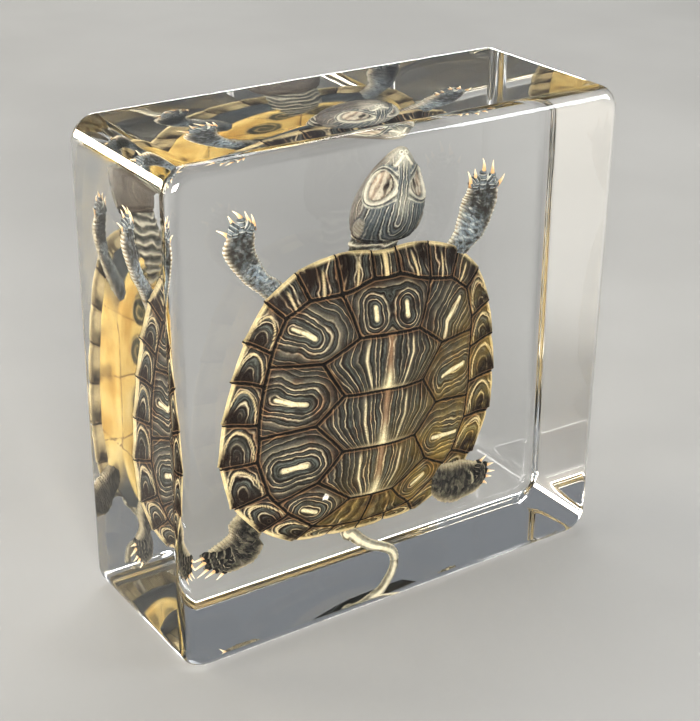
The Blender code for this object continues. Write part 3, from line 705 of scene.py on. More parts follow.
def block():
    """One clear casting: a slab with round corners and eased rims."""
    corners = np.array([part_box(half) for half in ("resin_front", "resin_back")])
    low, high = Vector(corners[:, 0].min(axis=0)), Vector(corners[:, 1].max(axis=0))
    shape = bmesh.new()
    bmesh.ops.create_cube(shape, size=1.0)
    shape.transform(Matrix.Translation((low + high) / 2) @ Matrix.Diagonal((*(high - low), 1.0)))

    def round_off(edges, radius, segments):
        bmesh.ops.bevel(
            shape, geom=edges, offset=radius * MM, offset_type="OFFSET", segments=segments, profile=0.5,
            affect="EDGES",
        )

    deep = [edge for edge in shape.edges if abs(edge.verts[0].co.y - edge.verts[1].co.y) > MM]
    round_off(deep, CORNER_RADIUS, 14)
    ends = [face for face in shape.faces if abs(face.normal.y) > 0.9]
    round_off([edge for face in ends for edge in face.edges], RIM_BEVEL, 6)
    bmesh.ops.recalc_face_normals(shape, faces=shape.faces)
    mesh = bpy.data.meshes.new("resin_block")
    mesh.from_pydata(*ordered(shape))
    shape.free()
    mesh.shade_smooth()
    mesh.materials.append(resin_material())
    made = link("resin_block", mesh)
    made.modifiers.new("flat_faces", "WEIGHTED_NORMAL").weight = 100
    return settle(made, "resin", "resin_front", "resin_back")


def shell_matrix():
    """Shell axes: x across, y along towards the head, z out of the back, placed in the block."""
    upright = Matrix(((1, 0, 0), (0, 0, -1), (0, 1, 0))).to_4x4()
    turn = Euler((math.radians(SHELL_PITCH), math.radians(SHELL_ROLL), math.radians(SHELL_YAW)))
    return Matrix.Translation(SHELL_CENTRE) @ turn.to_matrix().to_4x4() @ upright


def place_in_block(points):
    """Points moved from the shell's axes to the block's."""
    matrix = np.array(shell_matrix())
    moved = points.reshape(-1, 3) @ matrix[:3, :3].T + matrix[:3, 3]
    return moved.reshape(points.shape)


def rim_radius(angle, serrated=False):
    """Distance from the shell's centre to the rim, at angles from the tail."""
    corners = np.array([(0.0, RIM[0][1])] + RIM, float)
    turns = np.arctan2(corners[:, 0], -corners[:, 1])
    angle = np.abs(np.arctan2(np.sin(angle), np.cos(angle)))
    piece = np.clip(np.searchsorted(-turns, -angle, side="right") - 1, 0, len(corners) - 2)
    start, end = corners[piece], corners[piece + 1]
    direction = polar(angle)
    side = end - start
    across = direction[..., 0] * side[..., 1] - direction[..., 1] * side[..., 0]
    part = -(direction[..., 0] * start[..., 1] - direction[..., 1] * start[..., 0]) / across
    part = np.clip(part, 0, 1)
    radius = np.sum(direction * (start + part[..., None] * side), axis=-1)
    if serrated:
        bulge = np.where(piece == 0, 0.0, 4 * part * (1 - part) * 0.3)
        strength = np.interp(piece, *RIM_TEETH)
        radius = radius + bulge + strength * part ** 5
    return radius


def dome(points):
    """Height of the carapace over its rim plane: flared at the sides, fuller at both ends."""
    angle = np.arctan2(np.abs(points[..., 0]), -points[..., 1])
    part = np.minimum(np.linalg.norm(points, axis=-1) / rim_radius(angle), 1.0)
    sideways = np.sin(angle) ** 2
    side = ((1 + np.cos(math.pi * part)) / 2 + np.cos(math.pi * part / 2) ** SIDE_FLARE) / 2
    end = 1 - part ** END_FALL
    lift = NUCHAL_LIFT * part ** 2 * np.maximum(-np.cos(angle), 0) ** 4
    return DOME_HEIGHT * (sideways * side + (1 - sideways) * end) + lift


def lifted(points):
    """Points of the shell, as (across, along, height), once its rear margin is turned up."""
    flat = points[..., :2]
    angle = np.arctan2(np.abs(flat[..., 0]), -flat[..., 1])
    part = np.minimum(np.linalg.norm(flat, axis=-1) / rim_radius(angle), 1.0)
    lift = REAR_LIFT * (part * np.maximum(np.cos(angle), 0)) ** 3
    return points + lift[..., None] * np.array([*REAR_LEAN, 1.0])


def scutes():
    """The right half of the scutes as (kind, number, corners), the rim's corners moved out a little."""
    outer = [(x * 1.1, y * 1.1) for x, y in RIM]
    costal_corner = {5: C1_C2, 7: C2_C3, 9: C3_C4}
    found = [("nuchal", 0, [(0.0, outer[0][1]), outer[0], INNER[0], (0.0, INNER[0][1])])]
    for i in range(1, len(RIM)):
        corners = [outer[i - 1], outer[i], INNER[i]]
        if i in costal_corner:
            corners.append(costal_corner[i])
        found.append(("marginal", i, corners + [INNER[i - 1]]))
    found += [
        ("costal", 1, [INNER[1], INNER[2], INNER[3], INNER[4], C1_C2, V2, V1_V2]),
        ("costal", 2, [V2, C1_C2, INNER[5], INNER[6], C2_C3, V3, V2_V3]),
        ("costal", 3, [V3, C2_C3, INNER[7], INNER[8], C3_C4, V4, V3_V4]),
        ("costal", 4, [V4, C3_C4, INNER[9], INNER[10], V4_V5]),
        ("vertebral", 1, [(0, INNER[0][1]), INNER[0], INNER[1], V1_V2, (0, V1_V2[1])]),
    ]
    for number, (front, corner, rear) in MIDDLE_VERTEBRALS.items():
        found.append(("vertebral", number, [(0, front[1]), front, corner, rear, (0, rear[1])]))
    found.append(("vertebral", 5, [(0, V4_V5[1]), V4_V5, INNER[10], INNER[11], INNER[12]]))
    return found


def seams():
    """Every seam of the right half, once, leaving out the midline inside the vertebral scutes."""
    found = {}
    for _, _, corners in scutes():
        for a, b in zip(corners, corners[1:] + corners[:1]):
            on_midline = abs(a[0]) < 0.01 and abs(b[0]) < 0.01
            past_rim = min(math.hypot(*a), math.hypot(*b)) > 23.4
            if past_rim or (on_midline and a[1] > -20):
                continue
            found[tuple(sorted((tuple(a), tuple(b))))] = (a, b)
    return list(found.values())


def inside(points, corners):
    """Which points lie in a polygon."""
    hit = np.zeros(points.shape[:-1], bool)
    for (ax, ay), (bx, by) in zip(corners, corners[1:] + corners[:1]):
        crosses = (ay > points[..., 1]) != (by > points[..., 1])
        with np.errstate(divide="ignore", invalid="ignore"):
            at = (bx - ax) * (points[..., 1] - ay) / (by - ay) + ax
        hit ^= crosses & (points[..., 0] < at)
    return hit


def nearest_seam(points):
    """Distance to the nearest seam, and the place on it."""
    best = np.full(points.shape[:-1], 99.0)
    place = points.copy()
    for a, b in seams():
        distance, nearest = segment_distance(points, a, b)
        closer = distance < best
        best = np.where(closer, distance, best)
        place = np.where(closer[..., None], nearest, place)
    return best, place


def line_distance(points, a, b):
    """Distance from points to the endless line through two places."""
    a, b = np.asarray(a, float), np.asarray(b, float)
    side = b - a
    across = (points[..., 0] - a[0]) * side[1] - (points[..., 1] - a[1]) * side[0]
    return np.abs(across) / np.linalg.norm(side)


def costal_marks(points, left, number):
    """Rings round a pale bar."""
    right_bar, left_bar = COSTAL_BARS[number]
    distance = np.where(left, path_distance(points, left_bar), path_distance(points, right_bar))
    pitch = REAR_STRIPE_PITCH if number == 4 else STRIPE_PITCH
    taper = 0.46 + 0.16 * lumps(points, 2.5)
    return {"phase": distance / pitch + 0.5, "pale": ease(taper, taper - 0.3, distance)}


def vertebral_marks(points, signed, number):
    """Lengthwise stripes that draw together at a pale spot on the rear midline."""
    front, corner, rear = MIDDLE_VERTEBRALS[number]
    across, along = points[..., 0], points[..., 1]
    part = np.clip((front[1] - along) / (front[1] - rear[1]), 0, 1)
    width = np.interp(-along, [-front[1], -corner[1], -rear[1]], [front[0], corner[0], rear[0]])
    gather = 1 - 0.38 * part ** 2
    spread = 1 + 0.3 * (width / front[0] - 1)
    phase = across / (1.0 * gather * spread) + 0.15 + 0.25 * np.sin(part * 3.0)
    spot = bell(signed, 0, 0.6 + 0.5 * part) * bell(part, 0.9, 0.2)
    streak = bell(signed, 0, 0.35) * ease(0.45, 0.8, part)
    band = bell(along - rear[1], 0.35, 0.35) * ease(front[0], 1.0, across)
    bright = bell(phase, 4.0, 0.16) * 0.9 * ease(0.05, 0.25, part) * ease(1.0, 0.8, part)
    pale = np.clip(0.55 * spot + 0.6 * streak + 0.45 * band + bright, 0, 1)
    tan = bell(signed, 0, 0.55) * ease(0.95, 0.5, part) * 0.45
    return {"phase": phase, "pale": pale, "tan": tan}


def first_vertebral_marks(points, signed):
    """Two ring whorls side by side, under arched stripes."""
    both = np.stack([signed, points[..., 1]], axis=-1)
    one, two = (
        segment_distance(both, (side * WHORL_ACROSS, WHORL_ENDS[0]), (side * WHORL_ACROSS, WHORL_ENDS[1]))[0]
        for side in (-1, 1)
    )
    nearest = np.minimum(one, two)
    merged = -np.log(np.exp(-2.0 * one) + np.exp(-2.0 * two)) / 2.0
    above = np.maximum(points[..., 1] - WHORL_ENDS[0], 0)
    joined = np.hypot(np.maximum(np.abs(signed) - WHORL_ACROSS, 0), above)
    distance = merged + (joined - merged) * ease(1.3, 2.8, above)
    return {"phase": distance + 0.85, "pale": ease(0.48, 0.22, nearest)}


def last_vertebral_marks(points, signed):
    """Blotchy amber streaks that fan out to the rear."""
    angle = np.arctan2(signed, points[..., 1] + 8.0)
    return {"phase": np.abs(angle) * 5.0, "amber": 1.0, "blotch": np.clip(lumps(points, 2.2) * 1.6, 0, 0.75)}


def marginal_marks(points, number):
    """Nested hooks that open to the rear, a golden band round them, and a dark rear corner."""
    front_rim, rear_rim = RIM[number - 1], RIM[number]
    rear_inner, front_inner = INNER[number], INNER[number - 1]
    to_front = line_distance(points, front_rim, front_inner)
    to_rear = line_distance(points, rear_rim, rear_inner)
    to_rim = line_distance(points, front_rim, rear_rim)
    to_inner = line_distance(points, front_inner, rear_inner)
    s = to_front / (to_front + to_rear)
    t = to_rim / (to_rim + to_inner)
    uneven = 0.38 * lumps(points, 1.7)
    if number <= 3:
        ring = np.abs(s - 0.5 - 0.12 * (t - 0.5)) / 0.5
        ring = np.hypot(ring, 0.3 * np.maximum(0.45 - t, 0))
        gold = ease(0.1, 0.03, ring) * ease(0.0, 0.2, t) * 0.7
        phase = ring * 2.2 + 0.35 + uneven
    else:
        ahead = np.where(s < 0.8, (0.8 - s) / 0.8, (s - 0.8) / 0.9)
        aside = np.where(t > 0.42, (t - 0.42) / 0.58, (0.42 - t) / 0.5)
        ring = np.hypot(ahead, aside)
        gold = ease(0.05, 0.02, np.abs(ring - 0.78)) * ease(1.0, 0.8, s) * 0.6
        phase = ring * 3.0 + uneven
    rear = np.hypot((1 - s) * 5.5, (t - 0.25) * 5.0)
    front = np.hypot(s * 5.5, (t - 0.75) * 6.0)
    blotch = ease(3.3, 1.3, rear) + 0.6 * ease(1.8, 0.5, front)
    return {"phase": phase, "gold": gold, "blotch": np.clip(blotch, 0, 1) * (number < 11)}


def nuchal_marks(signed):
    """A golden stripe on the midline, and a stripe to each side."""
    ring = np.abs(signed) / 2.0
    return {"phase": ring * 2.0, "gold": ease(0.25, 0.12, ring) * 0.8}


def scute_marks(flat):
    """Every mark of the carapace at points in the shell's plane."""
    bent = warped(flat, 5.0, 40.0, 0.3)
    mirrored = np.stack([np.abs(bent[..., 0]), bent[..., 1]], axis=-1)
    left = bent[..., 0] < 0
    marks = {mark: np.zeros(flat.shape[:-1]) for mark in MARKS}
    marks["seam"], _ = nearest_seam(mirrored)
    for kind, number, corners in scutes():
        here = inside(mirrored, corners)
        points, signed, sides = mirrored[here], bent[here][:, 0], left[here]
        if kind == "costal":
            found = costal_marks(points, sides, number)
        elif kind == "nuchal":
            found = nuchal_marks(signed)
        elif kind == "marginal":
            found = marginal_marks(points, number)
        elif number == 1:
            found = first_vertebral_marks(points, signed)
        elif number == 5:
            found = last_vertebral_marks(points, signed)
        else:
            found = vertebral_marks(points, signed, number)
        for mark, values in found.items():
            marks[mark][here] = values
    warm_side = ease(-4.0, 18.0, flat[..., 0] * 0.8 - flat[..., 1] * 0.55)
    marks["amber"] = np.clip(np.maximum(marks["amber"], warm_side), 0, 1)
    to_flake = np.hypot(flat[..., 0] - FLAKE_PLACE[0], (flat[..., 1] - FLAKE_PLACE[1]) * 1.3)
    marks["flake"] = ease(0.75, 0.45, to_flake + 0.5 * lumps(flat, 0.4))
    return marks


def carapace(material):
    """The domed back, its scutes parted by seams, down over the rim to the edge of the bridge."""
    angles = np.linspace(-math.pi, math.pi, 760, endpoint=False)
    parts = np.linspace(0.004, 1.0, 118)
    radius = rim_radius(angles, serrated=True) - RIM_INSET
    flat = polar(angles, parts[:, None] * radius[None, :])
    bent = warped(flat, 5.0, 40.0, 0.3)
    side = np.where(bent[..., :1] < 0, -1.0, 1.0) * [1.0, 0.0] + [0.0, 1.0]
    distance, nearest = nearest_seam(bent * side)
    pull = bell(distance, 0, 0.2) * (parts[:, None] < 0.995)
    flat = flat + (nearest * side - bent) * pull[..., None]
    marks = scute_marks(flat)
    seam = marks["seam"]
    height = dome(flat) + 0.3 * (1 - np.exp(-seam / 0.9)) - 0.3 - 0.14 * bell(seam, 0, 0.24)
    height = height + 0.06 * lumps(flat, 1.5) + 0.025 * np.cos(2 * math.pi * marks["phase"])
    top = lifted(with_height(flat, height))
    edge = top[-1]
    rings = [
        with_height(edge[:, :2] + out * polar(angles), edge[:, 2] - down) for out, down, _ in RIM_EDGE
    ]
    bridge = with_height(edge[:, :2] * BRIDGE_EDGE, -BRIDGE_DROP)
    inward = [rings[-1] + (bridge - rings[-1]) * share for share in (0.25, 0.5, 0.75, 1.0)]
    rear = np.maximum(np.cos(angles), 0)[None, :] ** 4
    rim = ease(0.987 - 0.025 * rear, 0.999 - 0.012 * rear, parts[:, None]) * 0.75
    under = {mark: (values[-1], values[-1]) for mark, values in marks.items()}
    under["blotch"] = (marks["blotch"][-1] * 0.4, marks["blotch"][-1])
    under["pale"] = (marks["pale"][-1], marks["pale"][-1] * 0.5)
    for mark, (on_rim, on_bridge) in under.items():
        marks[mark] = np.vstack([marks[mark]] + [on_rim] * len(rings) + [on_bridge] * len(inward))
    marks["gold"][:len(parts)] = np.maximum(marks["gold"][:len(parts)], rim)
    marks["gold"][len(parts):] = [[gold] for _, _, gold in RIM_EDGE] + [[0.75]] * len(inward)
    shape = Shape(*MARKS)
    shape.add(place_in_block(np.concatenate([top, np.stack(rings + inward)])), **marks)
    return shape.piece("carapace", material)


def plastron_radius(angle):
    """Distance from the belly plate's centre to its edge."""
    across = np.abs(np.sin(angle) / PLASTRON_HALF_WIDTH) ** PLASTRON_POWER
    along = np.abs(np.cos(angle) / PLASTRON_HALF_LENGTH) ** PLASTRON_POWER
    return (across + along) ** (-1 / PLASTRON_POWER)


def plastron(material):
    """The flat belly plate, the bridges up to the rim, and the skin closing the leg openings."""
    angles = np.linspace(-math.pi, math.pi, 320, endpoint=False)
    wall = polar(angles, rim_radius(angles)) * WALL_EDGE
    plate = polar(angles, plastron_radius(angles))
    rows = []
    for share in np.linspace(0, 1, WALL_ROWS):
        inward = share ** 1.4
        rows.append(with_height(wall * (1 - inward) + plate * inward, WALL_TOP - WALL_FALL * share ** 0.8))
    insets = [(0.985, 0.16), (0.965, 0.04), (0.94, 0.0)]
    insets += [(inset, 0.0) for inset in np.linspace(0.92, 0.004, 60)]
    rows += [with_height(plate * inset, drop - PLASTRON_DROP) for inset, drop in insets]
    points = np.stack(rows)
    row = np.arange(len(points))[:, None]
    flesh = ease(0.5, 0.8, np.abs(np.cos(angles))) * (row < WALL_ROWS - 1)
    flat = warped(points[..., :2], 4.0, 30, 0.25)
    across, along = np.abs(flat[..., 0]), flat[..., 1]
    seam = across
    for middle, drop in BELLY_SEAMS:
        course = middle + drop * (across / 12.0) ** 1.5
        seam = np.minimum(seam, np.abs(along - course))
    seam = np.minimum(seam, np.where(np.abs(along) < 11, np.abs(across - 15.2), 9.0))
    mark, phase = np.zeros(seam.shape), np.zeros(seam.shape)
    for x, y, size in BELLY_MARKS:
        distance = np.hypot((across - x) / 1.25, along - y) / size
        swirl = np.arctan2(along - y, across - x) / (2 * math.pi)
        strength = 1.0 if y > 5 else 0.75
        mark = np.maximum(mark, strength * ease(1.0, 0.86, distance + 0.1 * lumps(flat, 1.6)))
        phase = np.where(distance < 1.05, distance * 2.0 + swirl, phase)
    points[..., 2] += 0.1 * bell(seam, 0, 0.25) * (row >= WALL_ROWS)
    blotch = 0.7 * ease(0.1, 0.45, lumps(points[..., :2], 3.2)) * (row < WALL_ROWS - 3)
    shape = Shape("phase", "seam", "mark", "flesh", "blotch")
    shape.add(place_in_block(points), phase=phase, seam=seam, mark=mark, flesh=flesh, blotch=blotch)
    return shape.piece("plastron", material)


def head_axes():
    """The back of the skull, and the ways forward, up and to the right from there."""
    back = np.array(HEAD_BACK)
    forward = unit(np.array(HEAD_SNOUT) - back)
    crown = unit(np.cross((1.0, 0.0, 0.0), forward))
    return back, forward, crown, np.cross(forward, crown)


def eye_measure(along, up, across):
    """How far out each point lies from an eye's middle: 1 on the lid's edge."""
    tilt = math.radians(EYE_TILT)
    length = (along - EYE_ALONG) * math.cos(tilt) + (up - EYE_UP) * math.sin(tilt)
    height = (up - EYE_UP) * math.cos(tilt) - (along - EYE_ALONG) * math.sin(tilt)
    return np.where(np.abs(across) > 1.0, np.hypot(length / EYE_LONG, height / EYE_TALL), 9.0)


def crown_lines(along, across):
    """Stripe phase of the crown: lines that run lengthwise and loop round a long whorl on the midline."""
    beyond = np.maximum(5.4 - along, 0)
    bow = 1 + 0.05 * (along - 8) + 0.03 * np.abs(across)
    return np.hypot((np.abs(across - 0.1) + 0.12) * bow, 0.6 * beyond) / 0.98 + 0.45


def head_features(along, up, across, turn):
    """Where each feature of the head shows: distances from eye and ear, and strengths of the rest."""
    above = np.sin(turn) + 0 * along
    eye = eye_measure(along, up, across)
    ridge_line = np.interp(along, *RIDGE_LINE)
    ridge = bell(np.abs(across), ridge_line, 0.2) * ease(0.1, 0.4, above)
    ridge = ridge * ease(1.3, 1.45, eye) * ease(11.5, 12.4, along) * ease(15.0, 14.7, along)
    ear_middle = EAR_UP + EAR_SLOPE * (along - EAR_ALONG)
    ear = np.hypot((along - EAR_ALONG) / EAR_LONG, (up - ear_middle) / EAR_TALL)
    edge, number = cells(along / 1.3 + 20, around(turn, len(along), 20), 20, 4)
    scaly = ease(0.25, 0.0, above) * ease(1.15, 1.4, eye) * ease(14.0, 12.5, along)
    return SimpleNamespace(
        along=along, up=up, across=across, above=above, eye=eye, ridge=ridge, ridge_line=ridge_line,
        mouth=bell(up, np.interp(along, *MOUTH_LINE), 0.12) * ease(3.5, 5.0, along), number=number,
        ear=np.where(np.abs(across) > 2.5, ear, 9.0), nape=ease(2.6, 0.8, along),
        cracks=(1 - ease(0.0, 0.12, edge)) * scaly,
    )


def head_relief(f, points):
    """How far the head's skin stands out at its points, by its features."""
    socket = np.sqrt(np.clip(1 - f.eye ** 2, 0, 1))
    move = -1.15 * socket + 0.26 * bell(f.eye, 1.0, 0.07) + 0.2 * bell(f.eye, 1.19, 0.06)
    move = move + 0.3 * bell(f.eye, 0.35, 0.22)
    move = move - 0.3 * f.mouth + 0.16 * f.ridge - 0.2 * bell(f.ear, 1.0, 0.12)
    move = move + f.nape * 0.2 * np.sin(f.along * 7.0 + 2.0 * lumps(points, 2.0))
    move = move + 0.1 * ease(1.0, 0.7, f.ear) - 0.08 * f.cracks + 0.06 * lumps(points, 1.1)
    return move + 0.1 * bell(f.nostril, 0.32, 0.08) - 0.26 * ease(0.24, 0.1, f.nostril)


def head_marks(f, points):
    """Striped crown and cheeks with a painted highlight on the crown, smeared eyes with pale lids, hatched
    ears, dark mouth and nostrils.
    """
    on_crown = f.above > 0.3
    in_eye = f.eye < 0.85
    cheek = f.up / 0.8 + 0.4 * np.sin(f.along * 1.1) + 0.3 * lumps(points, 1.8)
    lined = np.where(on_crown, 0.9, 0.75) * ease(1.26, 1.36, f.eye) * ease(15.0, 13.4, f.along)
    lids = bell(f.eye, 0.99, 0.045) + 0.6 * bell(f.eye, 1.19, 0.03)
    # painted highlight: the middle of the crown is painted paler, as a sheen
    painted_crown_highlight = bell(f.along, 8.3, 2.2) * bell(f.across, 0.4, 1.3) * ease(0.2, 0.7, f.above)
    swirl = np.sin(f.up * 5.0 + f.along * 1.2 + 4.5 * lumps(points, 1.8))
    pale = 0.95 * lids + 0.3 * painted_crown_highlight + 0.45 * ease(0.7, -0.5, swirl) * in_eye
    pale = pale + 0.14 * ease(1.0, 0.8, f.ear) + 0.85 * f.ridge + 0.95 * bell(f.nostril, 0.32, 0.08)
    pale = pale + 0.38 * ease(12.5, 14.5, f.along) * ease(1.2, 1.5, f.eye)
    smear = bell(f.along, 10.7, 1.9) * bell(f.up, 3.0, 0.85) * (f.eye < 0.9)
    dark = 0.85 * smear + 0.25 * ease(0.0, 1.0, swirl) * in_eye + 0.85 * bell(f.eye, 1.09, 0.035)
    dark = dark + 0.5 * bell(f.eye, 0.86, 0.05) + 0.8 * f.mouth + 0.95 * ease(0.24, 0.14, f.nostril)
    # the nape and the back of the skull are painted darker: partly the skin's own brown-black, partly
    # painted shade where the head meets the shell
    dark = dark + 0.5 * f.nape + 0.4 * f.cracks
    dark = dark + 0.8 * ease(8.0, 1.5, f.along) * (0.6 + 0.4 * lumps(points, 1.6))
    dark = dark + 0.5 * bell(np.abs(f.across) - f.ridge_line, 0.35, 0.12) * (f.ridge > 0.001)
    hatch = ease(0.1, 0.8, np.sin(f.along * 9.0 + f.up * 6.0)) * ease(1.0, 0.85, f.ear)
    warm = 0.48 * ease(0.95, 0.8, f.eye) * (1 - smear) + 0.12 * ease(1.0, 0.85, f.ear)
    warm = warm + 0.16 * ease(0.7, 0.2, f.above) * (f.eye > 1.3) * (f.ear > 1.1)
    return {
        "phase": np.where(on_crown, crown_lines(f.along, f.across), cheek),
        "lined": lined * ease(0.9, 1.1, f.ear), "number": 0.35 + 0.4 * f.number,
        "dark": np.clip(dark + 0.35 * hatch, 0, 1), "warm": np.clip(warm, 0, 1), "pale": np.clip(pale, 0, 1),
    }


def head(material):
    """The skull: domed crown, ridged eye sockets with lids, a beak with two nostrils and ear patches."""
    back, forward, crown, right = head_axes()
    rows, cols = 230, 220
    stations = smooth_rows(HEAD_STATIONS + [HEAD_TIP], rows)
    distances, widths, crowns, throats = (stations[:, k:k + 1] for k in range(4))
    points, outward, turn = tube(
        back + distances * forward, widths * right, crowns * crown, cols, throats * crown,
    )
    local = points - back
    features = head_features(local @ forward, local @ crown, local @ right, turn)
    nose = back + forward * NOSE_ALONG + crown * NOSE_UP
    spots = [nose + right * NOSTRIL_ACROSS * way for way in (-1, 1)]
    features.nostril = np.minimum(*(np.linalg.norm(points - spot, axis=-1) for spot in spots))
    points = points + outward * head_relief(features, points)[..., None]
    shape = Shape(*SKIN_MARKS)
    shape.add(points, **head_marks(features, points))
    return shape.piece("head", material)


def neck(material):
    """Loose folds of skin between the head and the shell, with painted shade in their troughs and painted
    highlight on their crests.
    """
    rows, cols = 70, 120
    stations = smooth_rows([(*place, width, depth) for place, width, depth in NECK_STATIONS], rows)
    sides = stations[:, 3:4] * np.array([1.0, 0, 0])
    depths = stations[:, 4:5] * np.array([0, 1.0, 0])
    points, outward, turn = tube(stations[:, :3], sides, depths, cols)
    along = path_lengths(stations[:, :3])[:, None] + 0 * points[..., 0]
    folds = np.sin(along * 4.2 + 4.0 * lumps(points, 2.2) + 1.2 * np.cos(turn))
    edge, number = cells(along / 0.8 + 9, around(turn, rows, 34), 34, 8)
    seam = ease(0.16, 0.0, edge)
    points = points + outward * (0.18 * folds - 0.06 * seam + 0.05)[..., None]
    shape = Shape(*SKIN_MARKS)
    shape.add(
        points, phase=np.cos(turn) * 4, lined=0.45, number=number,
        # dark in the fold troughs is painted shade and pale on the fold crests is painted highlight; the
        # dark scale seams are the skin's own
        dark=0.75 * ease(0.1, -0.7, folds) + 0.3 * seam,
        warm=0.25 * ease(0.2, 0.9, folds), pale=0.8 * ease(0.55, 0.95, folds),
    )
    return shape.piece("neck", material)


def add_rod(shape, start, end, start_radius, end_radius, rows, cols, bend=0.0, **marks):
    """Adds a tapered round rod, bent at its middle by a vector, to a shape. Its swelling and its
    marks are numbers, or are worked out from the part of its length and the turn round it."""
    part = np.linspace(0, 1, rows)[:, None]
    centres = start + part * (end - start) + 4 * part * (1 - part) * bend
    away = unit(end - start)
    side = unit(np.cross(away, (0.0, 1.0, 0.0)))
    radius = start_radius + (end_radius - start_radius) * part
    points, outward, turn = tube(centres, radius * side, radius * np.cross(away, side), cols)
    made = {mark: value(part, turn) if callable(value) else value for mark, value in marks.items()}
    swell = np.broadcast_to(made.pop("swell", 0.0), (rows, cols))
    shape.add(points + outward * swell[..., None], **made)


def toe_root(limb, end, rear):
    """Where a toe starts: inside the foot's last edge, and in a rear foot part of the way to its heel."""
    (ax, az), (bx, bz), y, _ = limb["stations"][-1]
    side = np.array([bx - ax, bz - az])
    share = float(np.clip((np.array([end[0] - ax, end[2] - az]) @ side) / (side @ side), 0.12, 0.88))
    root = np.array([ax + side[0] * share, y, az + side[1] * share])
    root = root + (root - end) / max(np.linalg.norm(root - end), 0.3)
    if rear:
        (ax, az), (bx, bz), y, _ = limb["stations"][-4]
        heel = np.array([(ax + bx) / 2, y - HEEL_FORWARD, (az + bz) / 2])
        root = root + (heel - root) * HEEL_SHARE - [0, 0.3, 0]
    return root


def front_leg_marks(f, points):
    """Slate skin under a patchy painted sheen, with painted highlight on the wrinkle crests and painted
    shade in their creases, dark towards the foot, and pale cusps along both edges, partly their own colour
    and partly painted rim light.
    """
    # sheen_patches is a painted sheen, patchy and stronger towards one edge; where it is missing the skin is
    # darker, partly its own dark brown and partly painted shade
    sheen_patches = ease(-0.5, 0.6, lumps(points, 3.0) + 0.5 * f.slant)
    # pale on the wrinkle crests is painted highlight, and dark in their creases is painted shade
    pale = 0.45 * ease(0.35, 0.9, f.wrinkle) * ease(0.2, 0.6, f.edge) * sheen_patches
    dark = 0.8 * ease(0.66, 0.82, f.part) + 0.55 * ease(0.0, -0.8, f.wrinkle)
    dark = dark + 0.55 * ease(0.16, 0.0, f.edge) + 0.6 * (1 - sheen_patches)
    return {
        "phase": f.along / 0.9 + 2.8 * lumps(points, 2.4), "lined": 0.35, "number": 0.3 + 0.35 * f.number,
        # pale cusps along the edges: partly the skin's own colour, partly painted rim light
        "pale": np.clip(pale + 0.95 * f.outline * ease(0.2, 0.8, f.cusp), 0, 1),
        "dark": np.clip(dark, 0, 1), "warm": 0.5 * f.outline,
    }


def rear_leg_marks(f, points):
    """Near-black skin with golden cusps along both edges, partly their own colour and partly painted rim
    light, and faint painted highlight on the wrinkle crests.
    """
    # the golden cusps along the edges are partly the skin's own colour and partly painted rim light; the
    # faint pale on the wrinkle crests is painted highlight
    pale = f.edge_on ** 2 * ease(-0.3, 0.4, f.cusp) + 0.12 * ease(0.35, 0.9, f.wrinkle)
    dark = 0.3 * ease(0.16, 0.0, f.edge) + 0.5 * (1 - f.outline)
    return {
        "phase": f.along / 0.75 + 4.2 * lumps(points, 2.4), "lined": 0.5, "number": f.number,
        "pale": np.clip(pale, 0, 1), "dark": np.clip(dark, 0, 1), "warm": 0.6 * f.outline,
    }


def add_leg(shape, limb, rear, seed):
    """A leg in wrinkled scales, from the shell to the foot, with a row of cusps along both edges."""
    rows, cols = 150, 96
    stations = [(*a, *b, y, thick) for a, b, y, thick in limb["stations"]]
    ax, az, bx, bz, y, thick = smooth_rows(stations, rows).T
    one, two = np.stack([ax, y, az], axis=-1), np.stack([bx, y, bz], axis=-1)
    taper = np.clip((rows - 1 - np.arange(rows)) / 10.0, 0.15, 1) ** 0.5
    depths = (thick / 2 * taper)[:, None] * np.array([0, 1.0, 0])
    points, outward, turn = tube((one + two) / 2, (one - two) / 2, depths, cols)
    lengths = path_lengths((one + two) / 2)
    along = lengths[:, None] + 0 * points[..., 0]
    slant = np.cos(turn) + 0 * along
    size, columns, cusps = (0.62, 20, 0.2) if rear else (0.5, 11, 0.13)
    bend = 0.5 * lumps(points, 1.8)
    edge, number = cells(along / size + 13 + bend, around(turn, rows, columns) + bend, columns, seed)
    wrinkle = 0.6 * np.sin(along * 5.2 + 3.0 * slant + 4.5 * lumps(points, 1.6))
    wrinkle = wrinkle + 0.55 * np.sin(along * 2.6 - 6.5 * slant + 4.0 * lumps(points, 2.2))
    f = SimpleNamespace(
        along=along, part=along / lengths[-1], slant=slant, edge=edge, number=number, wrinkle=wrinkle,
        cusp=(along / RING_SPACING + 0.3 * np.sign(slant)) % 1.0,
        # outline: the leg's edges, where pale edge colour and painted rim light are put
        edge_on=np.abs(slant) ** 3, outline=np.abs(slant) ** 9,
    )
    move = 0.1 * ease(0.0, 0.5, edge) - 0.06 + cusps * f.edge_on * f.cusp ** 2 + 0.055 * wrinkle
    points = points + outward * (move * ease(0.0, 0.04, 1.0 - f.part))[..., None]
    marks = rear_leg_marks if rear else front_leg_marks
    shape.add(points, **marks(f, points))


